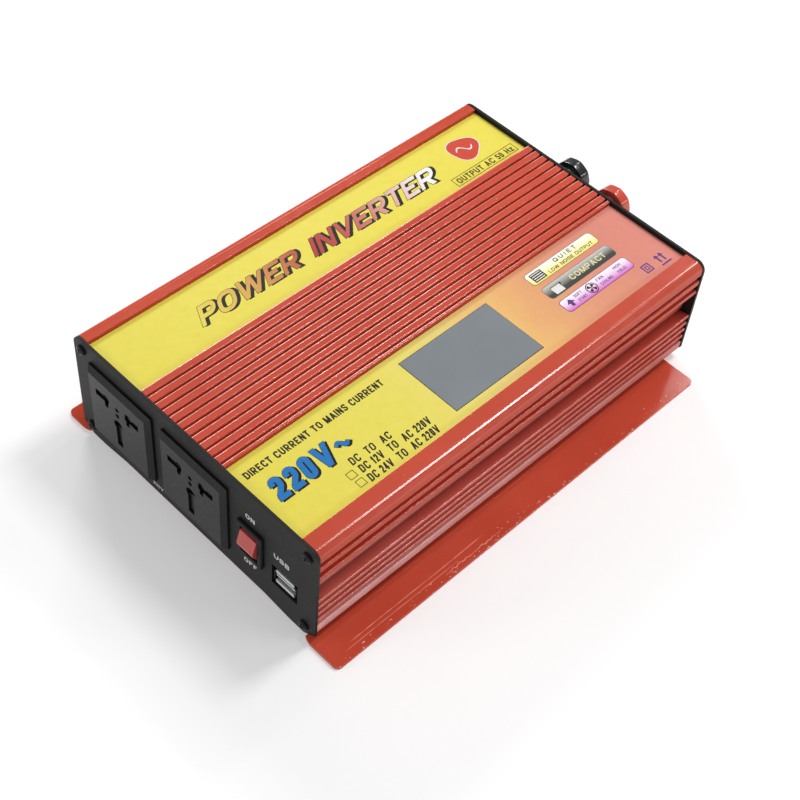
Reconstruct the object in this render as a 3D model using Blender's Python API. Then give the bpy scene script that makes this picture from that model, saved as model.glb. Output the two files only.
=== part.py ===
"""Power inverter: a ribbed two-part aluminium case on a mounting plate.

Lengths are in millimetres until mesh_object turns them into metres. X is to the right
seen from the socket end, Y runs from the socket end (0 at the shells' front) to the
battery end, and Z is up from the underside of the mounting plate.
"""
import math

import bmesh
import bpy
from mathutils import Matrix, Vector

MM = 0.001
GAP = 0.3
HAIR = 0.1

# Case
SHELL_LENGTH = 239.0
SIDE_X = 76.7
PLATE_HALF_WIDTH = 77.0
PLATE_TOP = 62.0
PLATE_BOTTOM = 1.9
PLATE_CORNER = 5.0
PLATE_CHAMFER = (6.2, 4.4)
FRONT_FOOT = ((46.0, 1.9), (61.0, 0.35), (70.4, 0.35), (77.0, 4.6))
PLATE_THICKNESS = 1.4
PLATE_STANDOFF = 0.15
FRONT_FACE = -PLATE_STANDOFF - PLATE_THICKNESS
REAR_FACE = SHELL_LENGTH + PLATE_STANDOFF + PLATE_THICKNESS
EDGE = 0.35

# Top shell
RIB_TOP = 61.7
GROOVE_FLOOR = 59.7
LABEL_FLOOR = 59.4
CEILING = 57.4
SPLIT_Z = 29.2
WALL_INSIDE = 70.2
RIB_PITCH = 4.665
RIB_WIDTH = 3.5
RIB_FIRST = (-33.4, -29.7)
RIB_LAST = (18.15, 19.7)
RIB_ROW_START = -28.5
RIB_ROW_COUNT = 10
RECESS_LOW_X = 71.4
RECESS_HIGH_X = 73.0
UPPER_ROOT_X = 74.2
UPPER_RIDGES = ((43.4, 45.6), (49.2, 52.4))
SHOULDER_Z = 55.4
SHOULDER_RADIUS = 4.1
BOSS_TOP = (68.6, 53.4)

# Bottom shell
LOWER_ROOT_X = 74.4
LOWER_RIDGE_PITCH = 4.6
LOWER_RIDGE_HEIGHT = 2.0
LOWER_RIDGE_COUNT = 4
FLOOR_TOP = 3.7
TONGUE = (68.7, 69.9, 33.5)
LOWER_WALL_INSIDE = 71.8
BOSS_LOW = (68.4, 9.6)

# Mounting plate
WING_LEFT = -87.6
WING_RIGHT = 93.3
WING_THICKNESS = 1.6
WING_FRONT_LEFT = -2.9
WING_FRONT_RIGHT = -3.9
WING_REAR = 231.0
WING_CORNER = 2.5
NOTCH_HALF_WIDTH = 72.7
NOTCH_CURVE = 77.2
NOTCH_RADIUS = 9.0
PAD_HALF_WIDTH = 77.3
PAD_FRONT = 0.15
PAD_TOP = 1.75

# Labels and display
LABEL_TOP = 59.7
LABEL_LEFT = (-68.7, -33.7)
LABEL_RIGHT = (20.0, 65.7)
LABEL_END_GAP = 0.15
DISPLAY_X = (25.6, 60.1)
DISPLAY_Y = (92.3, 146.6)

# Screws
SCREW_SHANK = 1.2
SCREW_BORE = 1.4
SCREW_CLEARANCE = 1.6
SCREW_HEAD = 2.6
SCREW_HEAD_HEIGHT = 1.5
SCREW_LENGTH = 9.0
SCREW_HIGH = (71.3, 56.0)
SCREW_LOW = (70.6, 6.4)

# Front controls
SOCKET_X = (-45.2, 3.0)
SOCKET_Z = 31.7
SOCKET_OUTER = 21.0
SOCKET_FACE = 18.75
SOCKET_BODY = 17.2
SOCKET_DEPTH = 14.0
PIN_X = 9.9
PIN_Z = 10.4
PIN_SLOT = (9.0, 3.6)
EARTH_Z = -8.3
EARTH_SLOT = (3.6, 12.0)
SWITCH_X = 37.9
SWITCH_Z = 30.0
SWITCH_PIVOT_Y = 3.5
SWITCH_TILT = math.radians(8.0)
USB_X = 58.1
USB_Z = 22.2

# Battery end
POST_X = (-12.3, 13.7)
POST_Z = 49.3
STUD_RADIUS = 3.0
STUD_BORE = 3.3
STUD_END = 257.0
KNOB_RADIUS = 9.3
KNOB_LOBES = 9
KNOB_START = 248.0
FAN_X = -43.1
FAN_Z = 30.6
FAN_HALF = 25.0
FAN_DEPTH = 15.0
FAN_BORE = 23.6
FAN_SCREW = 20.0
FAN_REAR = SHELL_LENGTH - 0.2

# The rocker's ridge is the frontmost point and the studs' ends the rearmost.
ROCKER_FRONT = -5.46
CENTRE_X = (WING_LEFT + WING_RIGHT) / 2
CENTRE_Y = (STUD_END + ROCKER_FRONT) / 2


def clear_scene():
    for old in list(bpy.data.objects):
        bpy.data.objects.remove(old, do_unlink=True)


def make_material(name, colour, roughness, metallic=0.0):
    material = bpy.data.materials.new(name)
    material.use_nodes = True
    shader = material.node_tree.nodes["Principled BSDF"]
    shader.inputs["Base Color"].default_value = (*colour, 1.0)
    shader.inputs["Roughness"].default_value = roughness
    shader.inputs["Metallic"].default_value = metallic
    return material


# ---------------------------------------------------------------- mesh helpers

def box(mesh, x, y, z):
    """A box between the given pairs of X, Y and Z."""
    corners = [mesh.verts.new((a, b, c)) for a in x for b in y for c in z]
    for quad in ((0, 1, 3, 2), (4, 6, 7, 5), (0, 4, 5, 1), (2, 3, 7, 6), (0, 2, 6, 4), (1, 5, 7, 3)):
        mesh.faces.new([corners[i] for i in quad])


def loft(mesh, rings):
    """Closed solid through rings of equal point count, with flat ends."""
    loops = [[mesh.verts.new(point) for point in ring] for ring in rings]
    for near, far in zip(loops, loops[1:]):
        for i in range(len(near)):
            j = (i + 1) % len(near)
            mesh.faces.new((near[i], near[j], far[j], far[i]))
    mesh.faces.new(loops[0])
    mesh.faces.new(loops[-1])


def prism(mesh, outline, start, end):
    """An outline of (x, z) points pushed along Y from start to end."""
    loft(mesh, [[(x, y, z) for x, z in outline] for y in (start, end)])


def circle(centre, radius, count):
    turn = 2 * math.pi / count
    return [
        (centre[0] + radius * math.cos(i * turn), centre[1] + radius * math.sin(i * turn))
        for i in range(count)
    ]


def rod(mesh, centre, radius, start, end, count=24):
    """A round bar along Y at centre (x, z)."""
    prism(mesh, circle(centre, radius, count), start, end)


def turned_along_y(mesh, centre, profile, count=24):
    """Rings of (radius, y) along Y round centre (x, z)."""
    loft(mesh, [[(x, y, z) for x, z in circle(centre, radius, count)] for radius, y in profile])


def turned_along_z(mesh, centre, profile, count=24):
    """Rings of (radius, z) along Z round centre (x, y)."""
    loft(mesh, [[(x, y, z) for x, y in circle(centre, radius, count)] for radius, z in profile])


def square_stack(mesh, centre, steps):
    """Squares of (half side, y) along Y round centre (x, z)."""
    rings = []
    for half, y in steps:
        corners = ((-half, -half), (half, -half), (half, half), (-half, half))
        rings.append([(centre[0] + dx, y, centre[1] + dz) for dx, dz in corners])
    loft(mesh, rings)


def arc(centre, radius, start, end, count):
    step = (end - start) / (count - 1)
    angles = [math.radians(start + i * step) for i in range(count)]
    return [(centre[0] + radius * math.cos(a), centre[1] + radius * math.sin(a)) for a in angles]


def mesh_object(name, mesh, material, origin=(0.0, 0.0, 0.0)):
    """Turn the bmesh into an object in metres, with its origin at the given point."""
    bmesh.ops.recalc_face_normals(mesh, faces=mesh.faces)
    bmesh.ops.translate(mesh, verts=mesh.verts, vec=-Vector(origin))
    bmesh.ops.scale(mesh, verts=mesh.verts, vec=(MM, MM, MM))
    data = bpy.data.meshes.new(name)
    mesh.to_mesh(data)
    mesh.free()
    data.materials.append(material)
    data.shade_smooth()
    data.set_sharp_from_angle(angle=math.radians(30))
    thing = bpy.data.objects.new(name, data)
    thing.location = (Vector(origin) - Vector((CENTRE_X, CENTRE_Y, 0.0))) * MM
    bpy.context.collection.objects.link(thing)
    return thing


def boolean(target, tool_mesh, operation, label):
    """Cut or join with a hidden tool object."""
    tool = mesh_object(target.name + "_" + label, tool_mesh, target.data.materials[0])
    tool.hide_render = True
    tool.hide_viewport = True
    tool.display_type = "WIRE"
    modifier = target.modifiers.new(label, "BOOLEAN")
    modifier.operation = operation
    modifier.solver = "EXACT"
    modifier.object = tool


def cut(target, tool_mesh, label="cutter"):
    boolean(target, tool_mesh, "DIFFERENCE", label)


def join(target, tool_mesh, label="addition"):
    boolean(target, tool_mesh, "UNION", label)


# ---------------------------------------------------------------- case

def mirrored(points):
    return [(-x, z) for x, z in reversed(points)]


def side_ridge(bottom, top, root_x):
    """One long ridge on the right side, from its lower root to its upper root."""
    return [
        (root_x, bottom),
        (SIDE_X - EDGE, bottom),
        (SIDE_X, bottom + EDGE),
        (SIDE_X, top - EDGE),
        (SIDE_X - EDGE, top),
        (root_x, top),
    ]


def rib_spans():
    """Left and right X of every rib on the lid, left to right."""
    row = [RIB_ROW_START + i * RIB_PITCH for i in range(RIB_ROW_COUNT)]
    return [RIB_FIRST] + [(x, x + RIB_WIDTH) for x in row] + [RIB_LAST]


def lid_ribs():
    """Outline over the ribs from right to left, label floor to label floor."""
    points = []
    spans = rib_spans()
    for index in range(len(spans) - 1, -1, -1):
        left, right = spans[index]
        right_foot = LABEL_FLOOR if index == len(spans) - 1 else GROOVE_FLOOR
        left_foot = LABEL_FLOOR if index == 0 else GROOVE_FLOOR
        points.append((right, right_foot))
        points.append((right, RIB_TOP - EDGE))
        points.append((right - EDGE, RIB_TOP))
        points.append((left + EDGE, RIB_TOP))
        points.append((left, RIB_TOP - EDGE))
        points.append((left, left_foot))
    return points


def top_side():
    """Right side of the top shell, from the split up to the lid."""
    lower, upper = UPPER_RIDGES
    points = [(RECESS_LOW_X, SPLIT_Z + GAP)]
    points += side_ridge(*lower, RECESS_HIGH_X)[:-1]
    points.append((UPPER_ROOT_X, lower[1]))
    points += side_ridge(*upper, UPPER_ROOT_X)
    points.append((UPPER_ROOT_X, SHOULDER_Z))
    points.append((SIDE_X - EDGE, SHOULDER_Z))
    points.append((SIDE_X, SHOULDER_Z + EDGE))
    centre = (SIDE_X - SHOULDER_RADIUS, RIB_TOP - SHOULDER_RADIUS)
    points += arc(centre, SHOULDER_RADIUS, 0.0, 90.0, 9)
    return points


def add_screw_bores(shell, places):
    mesh = bmesh.new()
    for x, z in places:
        for side in (-1, 1):
            rod(mesh, (side * x, z), SCREW_BORE, -1.0, SCREW_LENGTH + 4, 16)
            rod(mesh, (side * x, z), SCREW_BORE, SHELL_LENGTH - SCREW_LENGTH - 4, SHELL_LENGTH + 1, 16)
    cut(shell, mesh, "screw_bores")


def make_top_shell(material):
    side = top_side()
    boss_x, boss_z = BOSS_TOP
    inside = [(WALL_INSIDE, SPLIT_Z + GAP), (WALL_INSIDE, boss_z - 1), (boss_x, boss_z), (boss_x, CEILING)]
    right_floor = LABEL_RIGHT[1] + GAP
    left_floor = LABEL_LEFT[0] - GAP
    outline = list(side)
    outline += [(right_floor, RIB_TOP), (right_floor, LABEL_FLOOR)]
    outline += lid_ribs()
    outline += [(left_floor, LABEL_FLOOR), (left_floor, RIB_TOP)]
    outline += mirrored(side)
    outline += [(-x, z) for x, z in inside]
    outline += list(reversed(inside))
    mesh = bmesh.new()
    prism(mesh, outline, 0.0, SHELL_LENGTH)
    shell = mesh_object("top_shell", mesh, material)
    add_screw_bores(shell, [SCREW_HIGH])
    window = bmesh.new()
    box(window, grown(DISPLAY_X, GAP), grown(DISPLAY_Y, GAP), (CEILING - 1, LABEL_FLOOR + 1))
    cut(shell, window, "display_opening")


def grown(span, by):
    return (span[0] - by, span[1] + by)


def bottom_side():
    """Right side of the bottom shell, from the floor's chamfer up to the split."""
    chamfer_x, chamfer_z = PLATE_CHAMFER
    points = [(PLATE_HALF_WIDTH - chamfer_x, PLATE_BOTTOM)]
    points.append((SIDE_X - EDGE, PLATE_BOTTOM + chamfer_z - EDGE))
    points.append((SIDE_X, PLATE_BOTTOM + chamfer_z))
    points += [(SIDE_X, 6.6), (SIDE_X - 0.8, 6.7), (SIDE_X - 0.8, 7.2), (SIDE_X, 7.3)]
    points += [(SIDE_X, 10.4), (SIDE_X - EDGE, 10.8), (LOWER_ROOT_X, 10.8)]
    first = SPLIT_Z - LOWER_RIDGE_HEIGHT - (LOWER_RIDGE_COUNT - 1) * LOWER_RIDGE_PITCH
    for i in range(LOWER_RIDGE_COUNT):
        bottom = first + i * LOWER_RIDGE_PITCH
        points += side_ridge(bottom, bottom + LOWER_RIDGE_HEIGHT, LOWER_ROOT_X)
    points.pop()
    points.append((RECESS_LOW_X, SPLIT_Z - 0.8))
    return points


def make_bottom_shell(material):
    side = bottom_side()
    tongue_in, tongue_out, tongue_top = TONGUE
    boss_x, boss_z = BOSS_LOW
    inside = [
        (tongue_out, SPLIT_Z - 0.8),
        (tongue_out, tongue_top),
        (tongue_in, tongue_top),
        (tongue_in, SPLIT_Z - 3),
        (LOWER_WALL_INSIDE, SPLIT_Z - 5),
        (LOWER_WALL_INSIDE, boss_z),
        (boss_x, boss_z),
        (boss_x, FLOOR_TOP),
    ]
    outline = side + inside + mirrored(inside) + mirrored(side)
    mesh = bmesh.new()
    prism(mesh, outline, 0.0, SHELL_LENGTH)
    shell = mesh_object("bottom_shell", mesh, material)
    add_screw_bores(shell, [SCREW_LOW])


def make_base_plate(material):
    """Mounting plate: a wing each side, and a notch in front that clears the front plate."""
    r = WING_CORNER
    outline = arc((WING_LEFT + r, WING_FRONT_LEFT + r), r, 180, 270, 6)
    outline += arc((-NOTCH_CURVE, WING_FRONT_LEFT + NOTCH_RADIUS), NOTCH_RADIUS, -90, -63, 5)
    outline += [(-NOTCH_HALF_WIDTH, WING_FRONT_LEFT + 1.2), (-NOTCH_HALF_WIDTH, 0.0)]
    outline += [(NOTCH_HALF_WIDTH, 0.0), (NOTCH_HALF_WIDTH, WING_FRONT_RIGHT + 1.2)]
    outline += arc((NOTCH_CURVE, WING_FRONT_RIGHT + NOTCH_RADIUS), NOTCH_RADIUS, -117, -90, 5)
    outline += arc((WING_RIGHT - r, WING_FRONT_RIGHT + r), r, -90, 0, 6)
    outline += arc((WING_RIGHT - r, WING_REAR - r), r, 0, 90, 6)
    outline += arc((WING_LEFT + r, WING_REAR - r), r, 90, 180, 6)
    mesh = bmesh.new()
    loft(mesh, [[(px, py, z) for px, py in outline] for z in (0.0, WING_THICKNESS)])
    plate = mesh_object("base_plate", mesh, material)
    pad = bmesh.new()
    box(pad, (-PAD_HALF_WIDTH, PAD_HALF_WIDTH), (PAD_FRONT, WING_REAR), (0.5, PAD_TOP))
    join(plate, pad, "pad")


def plate_outline(foot):
    w, r = PLATE_HALF_WIDTH, PLATE_CORNER
    right = list(foot)
    right += arc((w - r, PLATE_TOP - r), r, 0, 90, 7)
    return right + mirrored(right)


def cut_plate_screw_holes(mesh, y):
    for x, z in (SCREW_HIGH, SCREW_LOW):
        for side in (-1, 1):
            rod(mesh, (side * x, z), SCREW_CLEARANCE, y - 1, y + PLATE_THICKNESS + 1, 16)


def make_front_plate(material):
    mesh = bmesh.new()
    prism(mesh, plate_outline(FRONT_FOOT), FRONT_FACE, -PLATE_STANDOFF)
    plate = mesh_object("front_plate", mesh, material)
    holes = bmesh.new()
    cut_plate_screw_holes(holes, FRONT_FACE)
    through = (FRONT_FACE - 1, 1.0)
    half = SOCKET_BODY + GAP
    for x in SOCKET_X:
        box(holes, (x - half, x + half), through, (SOCKET_Z - half, SOCKET_Z + half))
    box(holes, grown((SWITCH_X, SWITCH_X), 6.6), through, grown((SWITCH_Z, SWITCH_Z), 9.8))
    box(holes, grown((USB_X, USB_X), 7.7), through, grown((USB_Z, USB_Z), 6.4))
    cut(plate, holes)


def ring_slot(mesh, centre, inner, outer, start, end, y):
    """A curved slot cutter between two radii, from one angle to another."""
    points = arc(centre, outer, start, end, 8) + list(reversed(arc(centre, inner, start, end, 8)))
    prism(mesh, points, *y)


def make_rear_plate(material):
    mesh = bmesh.new()
    chamfer_x, chamfer_z = PLATE_CHAMFER
    foot = [(PLATE_HALF_WIDTH - chamfer_x, PLATE_BOTTOM), (PLATE_HALF_WIDTH, PLATE_BOTTOM + chamfer_z)]
    prism(mesh, plate_outline(foot), SHELL_LENGTH + PLATE_STANDOFF, REAR_FACE)
    plate = mesh_object("rear_plate", mesh, material)
    start = SHELL_LENGTH + PLATE_STANDOFF
    through = (start - 1, REAR_FACE + 1)
    holes = bmesh.new()
    cut_plate_screw_holes(holes, start)
    fan = (FAN_X, FAN_Z)
    for inner, outer, spread in ((7.5, 10.5, 13), (12.5, 15.5, 8), (17.5, 20.5, 6)):
        for quarter in range(4):
            low = 90 * quarter + spread
            ring_slot(holes, fan, inner, outer, low, low + 90 - 2 * spread, through)
    for dx in (-FAN_SCREW, FAN_SCREW):
        for dz in (-FAN_SCREW, FAN_SCREW):
            rod(holes, (FAN_X + dx, FAN_Z + dz), SCREW_CLEARANCE, *through, 12)
    for x in POST_X:
        rod(holes, (x, POST_Z), 4.5, *through, 20)
    for i in range(6):
        x = 32.0 + 6.0 * i
        box(holes, (x, x + 3.0), through, (16.0, 46.0))
    cut(plate, holes)


def make_screw(name, x, z, face, inward, material, shank=SCREW_SHANK):
    """A cross-head screw on an end plate; inward is +1 at the front and -1 at the rear."""
    def at(depth):
        return face + inward * depth
    seat = -HAIR
    top = seat - SCREW_HEAD_HEIGHT
    profile = [(shank, at(SCREW_LENGTH)), (shank, at(seat)), (SCREW_HEAD, at(seat))]
    profile += [(SCREW_HEAD, at(seat - 0.6)), (SCREW_HEAD * 0.8, at(top + 0.3)), (SCREW_HEAD * 0.4, at(top))]
    mesh = bmesh.new()
    turned_along_y(mesh, (x, z), profile, 16)
    screw = mesh_object(name, mesh, material)
    cross = bmesh.new()
    arm, half = 1.5, 0.28
    depth = sorted((at(top - 1), at(top + 0.9)))
    outline = [
        (x - arm, z - half), (x - half, z - half), (x - half, z - arm), (x + half, z - arm),
        (x + half, z - half), (x + arm, z - half), (x + arm, z + half), (x + half, z + half),
        (x + half, z + arm), (x - half, z + arm), (x - half, z + half), (x - arm, z + half),
    ]
    prism(cross, outline, *depth)
    cut(screw, cross)


def make_case_screws(material):
    for end, face, inward in (("front", FRONT_FACE, 1), ("rear", REAR_FACE, -1)):
        for height, (x, z) in (("upper", SCREW_HIGH), ("lower", SCREW_LOW)):
            for hand, side in (("left", -1), ("right", 1)):
                name = "_".join((end, "screw", height, hand))
                make_screw(name, side * x, z, face, inward, material)


def make_labels(material):
    ends = (LABEL_END_GAP, SHELL_LENGTH - LABEL_END_GAP)
    height = (LABEL_FLOOR + HAIR, LABEL_TOP)
    for name, span in (("left_label", LABEL_LEFT), ("right_label", LABEL_RIGHT)):
        mesh = bmesh.new()
        box(mesh, span, ends, height)
        label = mesh_object(name, mesh, material)
        if name == "right_label":
            opening = bmesh.new()
            box(opening, grown(DISPLAY_X, GAP), grown(DISPLAY_Y, GAP), (LABEL_FLOOR - 1, LABEL_TOP + 1))
            cut(label, opening)


def make_display(glass, plastic, board):
    mesh = bmesh.new()
    box(mesh, DISPLAY_X, DISPLAY_Y, (CEILING + 0.6, LABEL_TOP + 0.15))
    mesh_object("display_window", mesh, glass)
    mesh = bmesh.new()
    box(mesh, grown(DISPLAY_X, 1.5), grown(DISPLAY_Y, 2.0), (53.4, CEILING - GAP))
    mesh_object("display_panel", mesh, plastic)
    mesh = bmesh.new()
    box(mesh, grown(DISPLAY_X, 3.0), grown(DISPLAY_Y, 5.0), (51.4, 53.0))
    mesh_object("display_board", mesh, board)


# ---------------------------------------------------------------- front controls

def make_socket(name, x, plastic):
    mesh = bmesh.new()
    rim = FRONT_FACE - HAIR
    steps = [
        (SOCKET_FACE, FRONT_FACE - 3.05),
        (SOCKET_OUTER, FRONT_FACE - 1.05),
        (SOCKET_OUTER, rim),
        (SOCKET_BODY, rim),
        (SOCKET_BODY, SOCKET_DEPTH),
    ]
    square_stack(mesh, (x, SOCKET_Z), steps)
    body = mesh_object(name, mesh, plastic)
    through = (FRONT_FACE - 5, SOCKET_DEPTH + 1)
    shallow = (FRONT_FACE - 5, 2.0)
    slots = bmesh.new()
    for side in (-1, 1):
        pin_slot(slots, (x + side * PIN_X, SOCKET_Z + PIN_Z), PIN_SLOT, through)
    pin_slot(slots, (x, SOCKET_Z + EARTH_Z), EARTH_SLOT, through)
    cut(body, slots, "pin_slots")
    blades = bmesh.new()
    for side in (-1, 1):
        pin_slot(blades, (x + side * (PIN_X - 2.6), SOCKET_Z + PIN_Z - 1.0), (2.2, 7.4), shallow)
    rod(blades, (x, SOCKET_Z - 0.4), 2.9, *shallow, 16)
    for z in (6.1, 9.9):
        rod(blades, (x, SOCKET_Z + z), 1.2, *shallow, 12)
    cut(body, blades, "blade_slots")


def pin_slot(mesh, centre, size, span):
    half_x, half_z = size[0] / 2, size[1] / 2
    box(mesh, (centre[0] - half_x, centre[0] + half_x), span, (centre[1] - half_z, centre[1] + half_z))


def make_contact(name, centre, size, brass):
    """A folded clip in the back of a pin slot, with a tab for the wire behind it."""
    wide = (size[0] - 2 * HAIR, size[1] - 2 * HAIR)
    mesh = bmesh.new()
    pin_slot(mesh, centre, wide, (5.0, SOCKET_DEPTH + 2))
    clip = mesh_object(name, mesh, brass)
    tab = bmesh.new()
    pin_slot(tab, centre, (wide[0] * 0.6, wide[1] * 0.3), (SOCKET_DEPTH, SOCKET_DEPTH + 9))
    join(clip, tab)
    mouth = bmesh.new()
    slit = (wide[0] + 1, 1.6) if wide[0] > wide[1] else (1.6, wide[1] + 1)
    pin_slot(mouth, centre, slit, (4.0, SOCKET_DEPTH - 2))
    cut(clip, mouth)


def make_sockets(plastic, brass):
    for hand, x in zip(("left", "right"), SOCKET_X):
        make_socket(hand + "_socket", x, plastic)
        high = SOCKET_Z + PIN_Z
        make_contact(hand + "_socket_live_contact", (x + PIN_X, high), PIN_SLOT, brass)
        make_contact(hand + "_socket_neutral_contact", (x - PIN_X, high), PIN_SLOT, brass)
        make_contact(hand + "_socket_earth_contact", (x, SOCKET_Z + EARTH_Z), EARTH_SLOT, brass)


def make_switch(plastic, red, brass):
    body_back = 16.0
    mesh = bmesh.new()
    box(mesh, grown((SWITCH_X,) * 2, 6.3), (FRONT_FACE - 0.8, body_back), grown((SWITCH_Z,) * 2, 9.5))
    housing = mesh_object("switch_housing", mesh, plastic)
    bezel = bmesh.new()
    rings = []
    for inset, y in ((0.5, FRONT_FACE - 1.7), (0.0, FRONT_FACE - 1.2), (0.0, FRONT_FACE - HAIR)):
        half_x, half_z = 7.5 - inset, 10.5 - inset
        corners = ((-half_x, -half_z), (half_x, -half_z), (half_x, half_z), (-half_x, half_z))
        rings.append([(SWITCH_X + dx, y, SWITCH_Z + dz) for dx, dz in corners])
    loft(bezel, rings)
    join(housing, bezel, "bezel")
    well = bmesh.new()
    box(well, grown((SWITCH_X,) * 2, 5.3), (FRONT_FACE - 5, 9.5), grown((SWITCH_Z,) * 2, 8.3))
    cut(housing, well, "well")
    bearings = bmesh.new()
    bar_along_x(bearings, (SWITCH_PIVOT_Y, SWITCH_Z), 1.4, (SWITCH_X - 8, SWITCH_X + 8))
    cut(housing, bearings, "bearings")
    make_rocker(red)
    for name, z in (("switch_supply_terminal", SWITCH_Z + 4), ("switch_load_terminal", SWITCH_Z - 4)):
        tab = bmesh.new()
        box(tab, grown((SWITCH_X,) * 2, 2.4), (body_back + GAP, body_back + 8), grown((z, z), 0.4))
        mesh_object(name, tab, brass)


def bar_along_x(mesh, centre, radius, span):
    """A round bar along X at centre (y, z)."""
    loft(mesh, [[(x, y, z) for y, z in circle(centre, radius, 12)] for x in span])


def make_rocker(red):
    """Roof-shaped rocker, built level and then tipped to its off position, top edge out."""
    half_width = 4.9
    pivot = Vector((SWITCH_X, SWITCH_PIVOT_Y, SWITCH_Z))
    roof = [(-8.9, 0.9), (-8.9, -0.9), (-6.0, -7.1), (-1.0, -6.6), (1.5, -3.0), (1.5, 3.0), (-1.0, 6.6), (-6.0, 7.1)]
    mesh = bmesh.new()
    ring_at = (SWITCH_X - half_width, SWITCH_X + half_width)
    loft(mesh, [[(x, pivot.y + dy, pivot.z + dz) for dy, dz in roof] for x in ring_at])
    tip = Matrix.Rotation(SWITCH_TILT, 3, "X")
    bmesh.ops.rotate(mesh, verts=mesh.verts, cent=pivot, matrix=tip)
    rocker = mesh_object("switch_rocker", mesh, red, pivot)
    pins = bmesh.new()
    bar_along_x(pins, (SWITCH_PIVOT_Y, SWITCH_Z), 1.1, (SWITCH_X - 5.9, SWITCH_X + 5.9))
    join(rocker, pins, "pivot_pins")


def make_usb(metal, white, board):
    front = FRONT_FACE + 0.5
    mesh = bmesh.new()
    box(mesh, grown((USB_X,) * 2, 6.55), (front, 12.5), grown((USB_Z,) * 2, 2.85))
    shell = mesh_object("usb_shell", mesh, metal)
    for label, sign in (("upper_lip", 1), ("lower_lip", -1)):
        lip = bmesh.new()
        near = sorted((USB_Z + sign * 2.4, USB_Z + sign * 4.3))
        box(lip, grown((USB_X,) * 2, 5.9), (front - 0.1, front + 0.5), near)
        join(shell, lip, label)
    mouth = bmesh.new()
    box(mouth, grown((USB_X,) * 2, 6.2), (front - 1, 12.0), grown((USB_Z,) * 2, 2.5))
    cut(shell, mouth, "mouth")
    tongue = bmesh.new()
    box(tongue, grown((USB_X,) * 2, 5.5), (front + 0.3, 11.6), (USB_Z - 0.4, USB_Z + 1.4))
    mesh_object("usb_tongue", tongue, white)
    plate = bmesh.new()
    box(plate, grown((USB_X,) * 2, 8.0), (1.0, 24.0), (USB_Z - 4.7, USB_Z - 3.2))
    mesh_object("usb_board", plate, board)


# ---------------------------------------------------------------- battery end

def knob_outline(centre, scale):
    """A round knob with shallow scallops between its lobes."""
    count = KNOB_LOBES * 6
    points = []
    for i in range(count):
        angle = 2 * math.pi * i / count
        dip = 0.09 * (0.5 - 0.5 * math.cos(KNOB_LOBES * angle)) ** 2
        radius = KNOB_RADIUS * scale * (1 - dip)
        points.append((centre[0] + radius * math.cos(angle), centre[1] + radius * math.sin(angle)))
    return points


def make_post(colour_name, x, plastic, brass):
    centre = (x, POST_Z)
    prefix = colour_name + "_post_"
    mesh = bmesh.new()
    seat = REAR_FACE + HAIR
    profile = [(4.2, 236.6), (4.2, seat), (8.4, seat), (8.4, seat + 2.6), (7.6, seat + 3.4), (6.4, seat + 3.4)]
    turned_along_y(mesh, centre, profile, 24)
    bush = mesh_object(prefix + "bush", mesh, plastic)
    bore = bmesh.new()
    rod(bore, centre, STUD_BORE, 230.0, 250.0, 20)
    cut(bush, bore)

    mesh = bmesh.new()
    profile = [(STUD_RADIUS - 0.4, 227.5), (STUD_RADIUS, 228.0), (STUD_RADIUS, STUD_END - 0.6)]
    profile.append((STUD_RADIUS - 0.6, STUD_END))
    turned_along_y(mesh, centre, profile, 20)
    mesh_object(prefix + "stud", mesh, brass)

    mesh = bmesh.new()
    rod(mesh, centre, 5.5, 231.5, 236.3, 6)
    nut = mesh_object(prefix + "nut", mesh, brass)
    bore = bmesh.new()
    rod(bore, centre, STUD_BORE, 230.0, 238.0, 20)
    cut(nut, bore)

    origin = (x, KNOB_START - 0.9, POST_Z)
    mesh = bmesh.new()
    rod(mesh, centre, 6.6, KNOB_START - 1.5, KNOB_START - GAP, 24)
    washer = mesh_object(prefix + "washer", mesh, brass, origin)
    bore = bmesh.new()
    rod(bore, centre, STUD_BORE, KNOB_START - 3, KNOB_START + 1, 20)
    cut(washer, bore)

    rings = []
    for scale, offset in ((0.93, 0.0), (1.0, 0.6), (1.0, 5.2), (0.9, 6.2)):
        y = KNOB_START + offset
        rings.append([(px, y, pz) for px, pz in knob_outline(centre, scale)])
    mesh = bmesh.new()
    loft(mesh, rings)
    knob = mesh_object(prefix + "knob", mesh, plastic, (x, KNOB_START, POST_Z))
    bore = bmesh.new()
    rod(bore, centre, STUD_BORE, KNOB_START - 2, KNOB_START + 9, 20)
    cut(knob, bore)


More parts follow.
